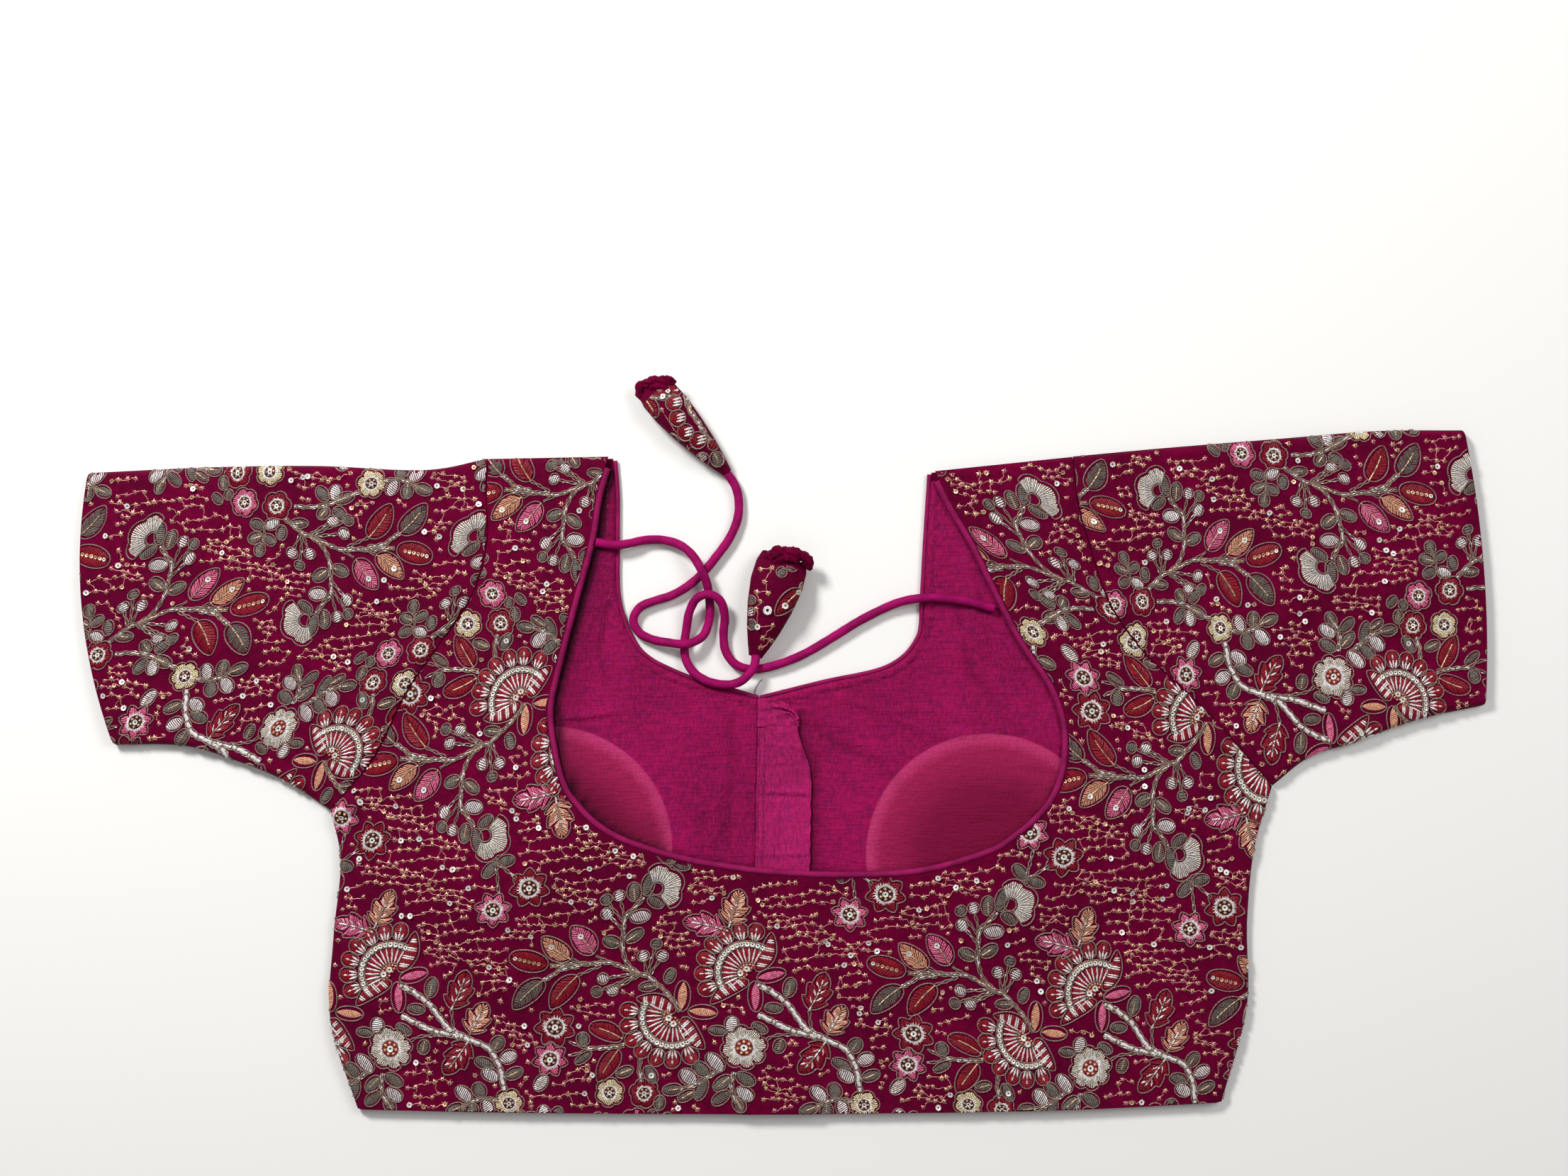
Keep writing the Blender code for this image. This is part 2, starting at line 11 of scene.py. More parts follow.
import bpy
import numpy as np
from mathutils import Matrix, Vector


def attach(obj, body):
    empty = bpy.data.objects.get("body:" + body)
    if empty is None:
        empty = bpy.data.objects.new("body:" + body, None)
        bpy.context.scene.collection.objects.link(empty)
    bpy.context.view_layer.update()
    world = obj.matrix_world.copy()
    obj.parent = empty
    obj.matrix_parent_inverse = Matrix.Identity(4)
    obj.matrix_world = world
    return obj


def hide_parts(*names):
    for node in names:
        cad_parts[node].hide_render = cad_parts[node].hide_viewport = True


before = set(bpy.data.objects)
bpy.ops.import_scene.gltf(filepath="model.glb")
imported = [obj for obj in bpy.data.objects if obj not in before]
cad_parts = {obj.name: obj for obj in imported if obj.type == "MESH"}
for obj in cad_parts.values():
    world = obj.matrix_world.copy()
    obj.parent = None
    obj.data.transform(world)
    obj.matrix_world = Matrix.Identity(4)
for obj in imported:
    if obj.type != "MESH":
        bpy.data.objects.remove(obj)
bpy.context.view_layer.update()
BODY = "root"
MM = 0.001


def placed(name, data):
    """A new object in the scene."""
    made = bpy.data.objects.new(name, data)
    bpy.context.scene.collection.objects.link(made)
    return made


# ---- Camera -----------------------------------------------------------------
VIEW_WIDTH = 0.803          # what the picture's width covers on the table
VIEW_CENTRE = (0.0004, 0.0938)
LENS, SENSOR = 50.0, 36.0


def make_camera():
    data = bpy.data.cameras.new("camera")
    data.lens, data.sensor_width = LENS, SENSOR
    camera = placed("camera", data)
    camera.location = (*VIEW_CENTRE, VIEW_WIDTH * LENS / SENSOR)
    bpy.context.scene.camera = camera


make_camera()

# ---- Sizes, in metres -------------------------------------------------------
CLOTH, LINING, GAP, AIR = 0.0012, 0.0010, 0.0003, 0.0016
ROLL = 0.0035               # how far in from a closed seam the cloth rounds over
SEAM_Z = CLOTH + GAP
SLEEVE_SHIFT = (0.00035, 0.0002)    # a sleeve stands this far out from its armhole
LINING_FROM_SEAM = 0.0055
SKIN = 0.0002               # the shown cloth is this much inside its solid
PIPING_RADIUS, EDGING_RADIUS, DORI_RADIUS = 0.0016, 0.0011, 0.0023
PAD_RADIUS, PAD_EDGE, PAD_CROWN = 0.062, 0.0008, 0.0062
PADS = {"left": (-0.1187, -0.0389), "right": (0.1042, -0.0425)}     # their centres
COVER_LOOSENESS = 0.0008    # of the lining over a pad
COVER_REACH = 1.45          # pad radii that it is lifted by
PLACKET_WIDTH, PLACKET_TOP, PLACKET_FOOT = 0.0270, 0.0234, -0.1690
PLACKET_SKIRT = (0.003, 0.010)      # where the cloth about the placket comes down
HAIR = 0.0001               # keeps two faces apart


def in_metres(table):
    """A table in millimetres, or one for each side, in metres."""
    if isinstance(table, dict):
        return {side: in_metres(rows) for side, rows in table.items()}
    return np.array(table) * MM


# Half sections of the body: the armhole and side seam, the front's neck and
# opening, and the back's neck, each as x and y in millimetres.
UNDERARM = V_POINT = 7
SECTIONS = in_metres({
    "left": [
        (-150.6, 159.7, -86, 160, -87.8, 160.4),
        (-151.4, 140.8, -84.6, 140.8, -93.7, 140.8),
        (-151, 117.2, -84.6, 116.1, -97.6, 117.2),
        (-158.6, 90, -83.5, 86.3, -106, 86.3),
        (-176.1, 63.8, -73.3, 62.4, -114, 55.5),
        (-192.4, 39.9, -53.4, 50.4, -118.7, 31.9),
        (-209, 6.5, -32.7, 43.9, -115.8, 9.4),
        (-231.2, -19.7, -12.7, 37.7, -110.7, -7.3),
        (-226.1, -46.2, -13.4, 2.9, -104.2, -16.4),
        (-229.8, -84.3, -14.2, -40.7, -96.2, -24.7),
        (-231.2, -127.8, -15.2, -106, -85.3, -32),
        (-217.4, -172.1, -16.3, -173.6, -72.6, -37.4),
    ],
    "right": [
        (147.7, 160.8, 74.8, 152.8, 76.2, 152.8),
        (149.9, 139, 73.7, 136.4, 84.2, 136.4),
        (156.1, 115.4, 72.2, 112.5, 96.9, 114.7),
        (165.9, 87.1, 70.8, 88.2, 109.3, 89.2),
        (179, 66.4, 68.6, 68.2, 121.6, 65.7),
        (196, 49, 53.4, 53.7, 136.1, 44.2),
        (218.9, 27.5, 20, 45.7, 143, 23.9),
        (249.7, -7.3, -12, 37.7, 142.7, 3.6),
        (240.7, -38.9, -12.7, 2.9, 137.2, -11.7),
        (237, -77, -13.5, -40.7, 128.5, -22.6),
        (236.7, -120.6, -14.5, -106, 118, -31.3),
        (224, -168.5, -15.6, -173.6, 104.2, -39.6),
    ],
})
LAST = 11
# The back between the hem's corners: the hem, then the neck, as x and y in millimetres.
HEM = in_metres([
    (-147, -173.6, -55.5, -42.9),
    (-74.4, -174.3, -30.9, -48),
    (0, -174.4, 0, -51.2),
    (74.4, -173.8, 34.5, -52.3),
    (148.8, -172.3, 70.8, -49.4),
])
# Sleeve sections from cuff to armhole: share, folded top edge, lower edge and height,
# in metres.
SLEEVES = {
    "left": [
        (0.00, -0.3539, 0.1524, -0.3412, 0.0137, 0.0060),
        (0.30, -0.2922, 0.1553, -0.3060, 0.0130, 0.0068),
        (0.55, -0.2378, 0.1560, -0.2795, 0.0054, 0.0068),
        (0.80, -0.1833, 0.1539, -0.2541, -0.0051, 0.0060),
        (1.00, -0.1506, 0.1597, -0.2312, -0.0197, 0.0053),
    ],
    "right": [
        (0.00, 0.3467, 0.1742, 0.3576, 0.0337, 0.0060),
        (0.30, 0.3031, 0.1738, 0.3242, 0.0264, 0.0068),
        (0.55, 0.2523, 0.1698, 0.2904, 0.0145, 0.0068),
        (0.80, 0.1942, 0.1651, 0.2686, 0.0072, 0.0060),
        (1.00, 0.1477, 0.1608, 0.2497, -0.0073, 0.0053),
    ],
}
CUFF_BOW = {"left": 0.0095, "right": 0.0045}
OUTWARD = {"left": -1, "right": 1}
SIDES = ("left", "right")

# A fold or crease of the upper cloth: ends, half width and height, in millimetres.
FOLDS = in_metres([
    (156, 134.4, 180, 57.4, 8, 1.6),
    (185, 51.4, 230, 9.4, 8.5, 2.2),
    (-214, -10.6, -227, -21.6, 6, 2.4),
    (-162, 96.4, -200, 34.4, 10, 1.2),
    (-310, 71.4, -230, 57.4, 22, 1.4),
    (320, 89.4, 235, 91.4, 22, 1.4),
    (-190, -138.6, -150, -58.6, 16, 1.2),
    (200, -148.6, 180, -68.6, 16, 1.2),
    (-30, -173.6, -20, -118.6, 18, 1.2),
    (90, -173.6, 85, -123.6, 18, 1),
])

FOLD_FADE, FOLD_REST = 4, 0.3       # how a fold fades to its ends, and what is left

# ---- Tie cords --------------------------------------------------------------
# Places along each cord's middle: x, y and height, in millimetres.
ROUTES = in_metres({
    "left": [
        (-95.5, 117.2, 5.1), (-89.7, 116.1, 5.1), (-83.9, 115.7, 5.1),
        (-77.3, 116.8, 4.3), (-70.1, 118.3, 2.7), (-61.3, 118.3, 2.7),
        (-52.6, 115.7, 4.3), (-46.1, 110.3, 6.7), (-41.7, 103, 8),
        (-38.8, 95.8, 5.9), (-37.8, 88.9, 3.4), (-37.4, 82, 2.4),
        (-38.5, 74.7, 2.5), (-41.7, 68.6, 4.4), (-49.4, 65.3, 7.9),
        (-58.4, 66, 5.8), (-66.8, 67.5, 3), (-73.7, 71.1, 2.3),
        (-76.6, 77.6, 2.3), (-73.3, 83.8, 2.3), (-66.1, 87.1, 2.3),
        (-57, 90, 2.3), (-48.3, 95.1, 2.3), (-41, 101.6, 2.3),
        (-33.8, 110.3, 2.3), (-27.2, 119.7, 2.3), (-23.2, 129.9, 2.3),
        (-22.9, 140.1, 2.4), (-25.4, 147.7, 2.9), (-29.4, 153.1, 3.2),
    ],
    "right": [
        (107.8, 83.1, 5.1), (99.8, 85.6, 5.1), (88.9, 87.8, 5.1),
        (77.3, 88.9, 5.1), (69.3, 88.5, 5.1), (59.9, 86.7, 3.6),
        (50.1, 82.7, 2.4), (38.1, 76.5, 2.3), (25.4, 68.6, 2.3),
        (10.9, 60.2, 2.3), (-2.5, 54.8, 2.3), (-15.2, 52.2, 2.3),
        (-24.3, 54.8, 2.3), (-29.4, 61.7, 2.3), (-30.5, 70.7, 2.4),
        (-29.8, 79.1, 4), (-31.9, 87.1, 7.6), (-37.8, 90.7, 9.2),
        (-44.3, 88.2, 7.8), (-47.9, 81.3, 5), (-49.4, 73.3, 2.6),
        (-50.5, 64.9, 2.3), (-49.7, 57.3, 2.8), (-45.7, 50.8, 4.7),
        (-38.8, 46.4, 5.5), (-30.5, 44.6, 5.6), (-22.9, 45.7, 6.9),
        (-17.1, 50.4, 8.4), (-14.5, 55.1, 6.4), (-14, 59.1, 4.8),
    ],
})
# A tassel is a cone of rolled cloth: tip, centre of its wide end, width and height,
# in millimetres.
TASSELS = in_metres({
    "left": (-29.8, 154, -67.2, 196.4, 20, 15),
    "right": (-13.8, 60.4, 0.5, 109.4, 27, 16),
})
TASSEL_PROFILE = (          # at shares of its length: the shares of its width and height
    (0.00, 0.30, 0.42), (0.08, 0.42, 0.56), (0.25, 0.64, 0.78), (0.48, 0.86, 0.94),
    (0.72, 1.00, 1.00), (0.90, 0.98, 0.92), (1.00, 0.86, 0.74),
)


# ---- Curves and heights -----------------------------------------------------
def smooth(rows, at, corners=()):
    """Points at row numbers at on a Catmull-Rom curve that turns sharply at corners."""
    rows, out = np.asarray(rows, float), []
    for a in np.atleast_1d(at):
        first = max([0] + [c for c in corners if c <= a])
        last = min([len(rows) - 1] + [c for c in corners if c > a])
        i = min(max(int(a), first), last - 1)
        t = a - i
        p1, p2 = rows[i], rows[i + 1]
        p0 = rows[i - 1] if i > first else 2 * p1 - p2
        p3 = rows[i + 2] if i + 2 <= last else 2 * p2 - p1
        out.append(0.5 * (2 * p1 + (p2 - p0) * t + (2 * p0 - 5 * p1 + 4 * p2 - p3) * t * t
                          + (3 * p1 - p0 - 3 * p2 + p3) * t ** 3))
    return np.array(out)


def curve(places, count):
    """count points along a smooth curve through places."""
    return smooth(places, np.linspace(0, len(places) - 1, count))


def even(line, count, closed=False):
    """count points at even steps along a polyline."""
    line = np.asarray(line, float)
    if closed:
        line = np.vstack([line, line[:1]])
    run = np.concatenate([[0], np.cumsum(np.linalg.norm(np.diff(line, axis=0), axis=1))])
    at = np.linspace(0, run[-1], count + 1)[:-1] if closed else np.linspace(0, run[-1], count)
    return np.stack([np.interp(at, run, line[:, k]) for k in range(line.shape[1])], 1)


def line_length(line, closed=False):
    line = np.asarray(line, float)
    if closed:
        line = np.vstack([line, line[:1]])
    return np.linalg.norm(np.diff(line, axis=0), axis=1).sum()


def sideways(run):
    """Unit normals in the plane, to the right of each run."""
    length = np.linalg.norm(run[:, :2], axis=1, keepdims=True)
    return np.stack([run[:, 1], -run[:, 0]], 1) / np.maximum(length, 1e-9)


def right_of(line, closed=False):
    """Unit normals in the plane, to the right of the line's run."""
    if closed:
        run = np.roll(line, -1, 0) - np.roll(line, 1, 0)
    else:
        run = np.gradient(line, axis=0)
    return sideways(run)


def edge(side, at):
    """The armhole, then the side seam down to the hem's corner."""
    return smooth([s[0:2] for s in SECTIONS[side]], at, (UNDERARM,))


def front_inner(side, at):
    """The front neck down to its V, then the centre front."""
    return smooth([s[2:4] for s in SECTIONS[side]], at, (V_POINT,))


def all_round(count):
    """Angles at even steps round a circle."""
    return np.linspace(0, math.tau, count, endpoint=False)


def opening_x(y):
    top, foot = SECTIONS["right"][V_POINT], SECTIONS["right"][-1]
    share = np.clip((top[3] - y) / (top[3] - foot[3]), 0, 1)
    return top[2] + (foot[2] - top[2]) * share


def back_outline(fine):
    """The neck and the outer end of each section of the back, from shoulder to shoulder."""
    necks = {side: [s[4:6] for s in SECTIONS[side]] for side in SIDES}
    neck = necks["left"] + [s[2:4] for s in HEM] + necks["right"][::-1]
    hem = ([SECTIONS["left"][-1][0:2]] + [s[0:2] for s in HEM]
           + [SECTIONS["right"][-1][0:2]])
    steps = np.linspace(0, LAST, int(LAST * fine) + 1)
    across = np.linspace(0, len(hem) - 1, int((len(hem) - 1) * fine * 1.6) + 1)[1:-1]
    total = len(neck) - 1
    inner = np.vstack([smooth(neck, steps), smooth(neck, LAST + across),
                       smooth(neck, total - steps[::-1])])
    outer = np.vstack([edge("left", steps), smooth(hem, across),
                       edge("right", steps[::-1])])
    return inner, outer


def ease(x):
    x = np.clip(x, 0, 1)
    return x * x * (3 - 2 * x)


def bell(away, reach):
    """1 where away is 0, eased down to 0 at a reach."""
    return ease(1 - np.abs(away) / reach)


def distance(points, line):
    """How far each point is from a polyline."""
    best = np.full(len(points), 1e9)
    for a, b in zip(line, line[1:]):
        run = b - a
        t = np.clip((points - a) @ run / max(run @ run, 1e-12), 0, 1)
        gap = points - a - t[:, None] * run
        best = np.minimum(best, (gap * gap).sum(1))
    return np.sqrt(best)


def nearest(points, lines):
    """How far each point is from the nearest of several lines."""
    return np.min([distance(points, line) for line in lines], axis=0)


def seam_lines():
    lines = []
    for side in SIDES:
        shoulder = SECTIONS[side][0]
        lines.append(np.array([shoulder[4:6], shoulder[0:2]]))
        lines.append(edge(side, np.linspace(UNDERARM, LAST, 25)))
    return lines


SEAMS = seam_lines()
ARMHOLES = {side: edge(side, np.linspace(0, UNDERARM, 45)) for side in SIDES}


def rolled(away):
    """0 at a folded edge, rising as a quarter round to 1."""
    t = np.clip(away / ROLL, 0, 1)
    return np.sqrt(np.clip(1 - (1 - t) ** 2, 0, 1))


def pad_height(share):
    return PAD_EDGE + PAD_CROWN * (1 - share * share)


def pad_cover(p):
    """How far a pad lifts the lining."""
    lift = np.zeros(len(p))
    for centre in PADS.values():
        share = np.linalg.norm(p - np.array(centre), axis=1) / PAD_RADIUS
        inside = pad_height(np.minimum(share, 1)) + COVER_LOOSENESS
        lift = np.maximum(lift, inside * ease((COVER_REACH - share) / (COVER_REACH - 1)))
    return lift


def past_opening(p):
    """How far each point is to the right of the centre opening."""
    return p[:, 0] - opening_x(p[:, 1])


def placket_lift(p):
    past = past_opening(p)
    outside = np.max([-past, past - PLACKET_WIDTH, p[:, 1] - PLACKET_TOP], axis=0)
    near, far = PLACKET_SKIRT
    return (GAP + LINING) * ease((far - outside) / (far - near))


def lining_low(p):
    return CLOTH + GAP + pad_cover(p)


def inside_top(p):
    return lining_low(p) + LINING + placket_lift(p)


def fold_lift(p):
    lift = np.zeros(len(p))
    for x0, y0, x1, y1, half, height in FOLDS:
        a, run = np.array([x0, y0]), np.array([x1 - x0, y1 - y0])
        t = np.clip((p - a) @ run / (run @ run), 0, 1)
        away = np.linalg.norm(p - a - t[:, None] * run, axis=1)
        ends = ease(np.minimum(t, 1 - t) * FOLD_FADE + FOLD_REST)
        lift = np.maximum(lift, height * ends * bell(away, half))
    return lift


def creased(p, creases):
    """Soft ridges, or troughs where the height is below 0, along bent lines."""
    lift = np.zeros(len(p))
    for half, height, *line in creases:
        half, height, line = half * MM, height * MM, in_metres(line)
        box = (np.abs(p - line.mean(0)) < np.ptp(line, axis=0) / 2 + 2 * half).all(1)
        away = distance(p[box], line)
        ends = np.minimum(np.linalg.norm(p[box] - line[0], axis=1),
                          np.linalg.norm(p[box] - line[-1], axis=1))
        lift[box] += height * bell(away, half) * ease(0.25 + ends / (4 * half))
    return lift


# ---- Mesh building ----------------------------------------------------------
def grid_quads(rows, columns, count=1, around=False):
    """The quads of count grids of rows by columns, each of which may close on its first row."""
    index = np.arange(count * rows * columns).reshape(count, rows, columns)
    if around:
        index = np.concatenate([index, index[:, :1]], axis=1)
    return np.stack([index[:, :-1, :-1], index[:, :-1, 1:], index[:, 1:, 1:],
                     index[:, 1:, :-1]], axis=-1).reshape(-1, 4)


def piece(name, points, quads, finishes, slot, finish_of=None, replaces=(), sharp=None,
          shade=None):
    """A mesh that rides on the blouse, from points in metres and quads between them."""
    mesh = bpy.data.meshes.new(name)
    mesh.from_pydata(np.asarray(points, float).reshape(-1, 3).tolist(), [],
                     np.asarray(quads).tolist())
    for finish in finishes:
        mesh.materials.append(finish)
    if finish_of is not None:
        mesh.polygons.foreach_set("material_index", np.asarray(finish_of, np.int32))
    if shade is not None:
        mesh.attributes.new("shade", "FLOAT", "POINT").data.foreach_set("value", shade)
    mesh.shade_smooth()
    if sharp:
        mesh.set_sharp_from_angle(angle=math.radians(sharp))
    obj = placed(name, mesh)
    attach(obj, BODY)
    if replaces:
        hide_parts(*replaces)
    return obj


def lifted(plan, height):
    """Plan points as points at a height."""
    flat = plan.reshape(-1, 2)
    return np.column_stack([flat, height(flat)]).reshape(*plan.shape[:-1], 3)


def side_quads(rings, step):
    """Quads from closed rings of points to the same rings step points on."""
    following = np.roll(rings, -1, axis=-1)
    return np.stack([rings, following, following + step, rings + step], -1).reshape(-1, 4)


def band_quads(rings, around):
    """Quads between closed rings of points."""
    return side_quads(np.arange((rings - 1) * around).reshape(-1, around), around)


def cap_quads(first, count, turn):
    """Quads across a closed ring of count points."""
    half = np.arange(count // 2 - 1)
    far = count - 1 - half
    return first + np.stack([half, half + 1, far - 1, far], 1)[:, ::turn]


def closed_quads(rings, around):
    """Quads between closed rings and across the first and the last."""
    return np.vstack([band_quads(rings, around), cap_quads(0, around, -1),
                      cap_quads((rings - 1) * around, around, 1)])


def wall(low, high):
    """A closed cloth wall between two grids of points: its points and quads."""
    rows, columns = low.shape[:2]
    total = rows * columns
    under = grid_quads(rows, columns)
    index = np.arange(total).reshape(rows, columns)
    rim = np.concatenate([index[0], index[1:-1, -1], index[-1, ::-1], index[-2:0:-1, 0]])
    sides = side_quads(rim, total)
    a, b, c = (high[0, 0, :2], high[0, 1, :2], high[1, 0, :2])
    turned = np.cross(b - a, c - a) < 0
    quads = np.vstack([under, under[:, ::-1] + total, sides[:, ::-1]])
    if not turned:
        quads = quads[:, ::-1]
    return np.vstack([low.reshape(-1, 3), high.reshape(-1, 3)]), quads


def tube(line, radius, sides=16, profile=None):
    """A round tube along a line in space, with closed ends: its points and quads."""
    line = np.asarray(line, float)
    run = np.gradient(line, axis=0)
    run /= np.linalg.norm(run, axis=1, keepdims=True)
    across = np.cross(run, (0, 0, 1))
    across /= np.maximum(np.linalg.norm(across, axis=1, keepdims=True), 1e-9)
    upward = np.cross(across, run)
    angles = all_round(sides)
    size = radius * (np.ones((len(line), sides)) if profile is None else profile)
    rings = (line[:, None] + size[..., None] * (across[:, None] * np.cos(angles)[:, None]
                                                + upward[:, None] * np.sin(angles)[:, None]))
    return rings.reshape(-1, 3), closed_quads(len(line), sides)[:, ::-1]


# ---- Finishes ---------------------------------------------------------------
class Value:
    """A socket in an expression: each operator adds its Math node."""

    def __init__(self, finish, link):
        self.finish, self.link = finish, link

    def math(self, operation, *values):
        return self.finish.node("ShaderNodeMath", {"operation": operation},
                                dict(enumerate(values)))

    def __add__(self, other):
        return self.math("ADD", self, other)

    def __rsub__(self, other):
        return self.math("SUBTRACT", other, self)

    def __mul__(self, other):
        return self.math("MULTIPLY", self, other)

    __radd__, __rmul__ = __add__, __mul__

    def sine(self):
        return self.math("SINE", self)

    def step(self, low, high):
        """0 below low and 1 above high, eased between them."""
        settings = {"interpolation_type": "SMOOTHSTEP"}
        values = {"Value": self, "From Min": low, "From Max": high}
        return self.finish.node("ShaderNodeMapRange", settings, values)


def linear(colour, factor=1.0):
    """A colour of 0 to 255, made darker or lighter by a factor, as the shader takes it."""
    def channel(x):
        x = min(255, x * factor) / 255
        return x / 12.92 if x < 0.04045 else ((x + 0.055) / 1.055) ** 2.4
    return *map(channel, colour), 1.0


class Finish:
    """A material around one Principled shader."""

    def __init__(self, name, colour, roughness, **constants):
        self.material = bpy.data.materials.new(name)
        self.material.use_nodes = True
        self.nodes = self.material.node_tree.nodes
        self.links = self.material.node_tree.links
        self.shader = self.nodes["Principled BSDF"]
        self.base = colour
        self.feed(Base_Color=self.tone(1.0), Roughness=roughness, **constants)
        self.place = self.node("ShaderNodeTexCoord", out="Object")

    def tone(self, factor):
        return linear(self.base, factor)

    def node(self, kind, settings=(), values=(), out=0):
        """Adds a node: its settings first, then the values or links of its sockets."""
        node = self.nodes.new(kind)
        for key, value in dict(settings).items():
            setattr(node, key, value)
        for key, value in dict(values).items():
            self.join(value, node.inputs[key])
        return Value(self, node.outputs[out])

    def join(self, value, socket):
        if isinstance(value, Value):
            self.links.new(value.link, socket)
        else:
            socket.default_value = value

    def feed(self, **values):
        for key, value in values.items():
            self.join(value, self.shader.inputs[key.replace("_", " ")])
        return self

    def noise(self, size, detail=2, stretch=(1, 1, 1)):
        """Noise from 0 to 1 with spots about size metres across."""
        scaled = self.node("ShaderNodeMapping", {}, {
            "Vector": self.place, "Scale": [s / size for s in stretch]})
        return self.node("ShaderNodeTexNoise", {}, {
            "Vector": scaled, "Scale": 1.0, "Detail": detail}, out="Fac")

    def mix(self, share, first, second):
        """One colour turned into another by a share; a number is a tone of the base."""
        first, second = (self.tone(c) if isinstance(c, float) else c for c in (first, second))
        return self.node("ShaderNodeMix", {"data_type": "RGBA"},
                         {0: share, 6: first, 7: second}, out=2)

    def bump(self, height, size, strength=1.0, **over):
        values = {"Height": height, "Distance": size, "Strength": strength, **over}
        return self.node("ShaderNodeBump", {}, values, out="Normal")

    def axis(self, name):
        return self.node("ShaderNodeSeparateXYZ", {}, {"Vector": self.place}, out=name)

    def from_point(self, x, y):
        """The distance in plan from a point, in metres."""
        flat = self.node("ShaderNodeVectorMath", {"operation": "MULTIPLY"},
                         {0: self.place, 1: (1, 1, 0)})
        settings = {"operation": "DISTANCE"}
        return self.node("ShaderNodeVectorMath", settings, {0: flat, 1: (x, y, 0)}, out="Value")

    def threads(self, size):
        """A plain weave: threads over and under, size metres apart."""
        turn = math.tau / size
        return ((self.axis("X") * turn).sine() + (self.axis("Y") * turn).sine()) * 0.5


OUTER_TONE, LINING_TONE, PLACKET_TONE = (104, 0, 45), (133, 12, 69), (150, 24, 84)
# The first is the foam's own tone and, seen through the lining, the pad's middle, darkened there as
# painted shade of the back laid over it; the edge tone is the pad showing through, paler.
PAD_FOAM_AND_SHADE_TONE, PAD_NEAR_TONE, PAD_EDGE_TONE = (114, 12, 52), (150, 28, 75), (180, 51, 103)
PIPING_TONE, CORD_TONE = (138, 22, 80), (146, 10, 86)


def make_silk():
    """The outer cloth: matt magenta silk with a fine even weave and cloudy shade."""
    f = Finish("magenta embroidered silk", OUTER_TONE, 0.62, Specular_IOR_Level=0.03)
    cloud = f.noise(0.035, 3).step(0.3, 0.7)
    slub = f.noise(0.0016, 2, (1, 6, 1)).step(0.25, 0.75)
    mottle = f.noise(0.004, 3).step(0.35, 0.7)
    colour = f.mix(cloud, 0.90, 1.10)
    colour = f.mix(mottle * 0.55, colour, 0.70)
    colour = f.mix(slub * 0.35, colour, 0.74)
    fine = f.threads(0.0007) * 0.5 + slub
    return f.feed(Base_Color=colour, Roughness=0.55 + cloud * 0.12,
                  Normal=f.bump(fine, 0.00012)).material


def make_lining_cloth(name, base, pads=(), grain=(0.10, 1, 1)):
    """Slubby crinkled cotton: streaks of thick and thin thread, a pale edge round a pad with painted
    shade towards its middle, and painted shade from the shade attribute.
    """
    f = Finish(name, base, 0.8, Specular_IOR_Level=0.08)
    streak = f.noise(0.0012, 3, grain).step(0.35, 0.75)
    fleck = f.noise(0.0010, 2, (1, 0.3, 1)).step(0.35, 0.7)
    mottle = f.noise(0.0038, 3, (1, 0.6, 1)).step(0.42, 0.72)
    cloud = f.noise(0.026, 3, (1, 0.5, 1)).step(0.3, 0.7)
    colour = f.mix(cloud, 0.90, 1.08)
    colour = f.mix(mottle * 0.55, colour, linear(np.multiply(base, (0.76, 1.2, 1.08))))
    colour = f.mix(streak * 0.40, colour, 0.68)
    colour = f.mix(fleck * 0.42, colour, 1.34)
    weave = streak + fleck
    for x, y in pads:
        away = f.from_point(x, y)
        inside = 1 - away.step(PAD_RADIUS - 0.0006, PAD_RADIUS + 0.0006)
        # painted shade of the back laid over the pad: darker towards the pad's middle
        near = away.step(PAD_RADIUS - 0.034, PAD_RADIUS - 0.005)
        rim = away.step(PAD_RADIUS - 0.0085, PAD_RADIUS - 0.0015)
        padded = f.mix(near, linear(PAD_FOAM_AND_SHADE_TONE), linear(PAD_NEAR_TONE))
        padded = f.mix(rim, padded, linear(PAD_EDGE_TONE))
        padded = f.mix(fleck * 0.2, padded, linear(PAD_FOAM_AND_SHADE_TONE, 0.8))
        colour = f.mix(inside * 0.92, colour, padded)
    # painted shade: darkened by the shade attribute, where raised cloth and creases keep light off
    # the lining
    dark = f.node("ShaderNodeAttribute", {"attribute_name": "shade"}, out="Fac")
    colour = f.mix(dark, colour, 0.16)
    normal = f.bump(f.noise(0.0030, 2, (0.4, 1, 1)), 0.0007, 0.7)
    return f.feed(Base_Color=colour,
                  Normal=f.bump(weave + f.threads(0.0007) * 0.3, 0.00016, Normal=normal)
                  ).material


def make_cord_cloth(name, base):
    """Bias-cut satin wrapped round a cord."""
    f = Finish(name, base, 0.6, Specular_IOR_Level=0.05)
    cloud = f.noise(0.009).step(0.3, 0.7)
    weave = f.noise(0.00064)
    colour = f.mix(cloud, 0.88, 1.06)
    colour = f.mix(weave.step(0.4, 0.8) * 0.4, colour, 0.66)
    normal = f.bump(f.noise(0.004), 0.0008, 0.5)
    return f.feed(Base_Color=colour, Normal=f.bump(weave, 0.0001, Normal=normal)).material


def make_pad_foam():
    f = Finish("moulded pad foam", PAD_FOAM_AND_SHADE_TONE, 0.85)
    cells = f.noise(0.0008)
    return f.feed(Base_Color=f.mix(cells, 0.85, 1.15), Normal=f.bump(cells, 0.0002)).material


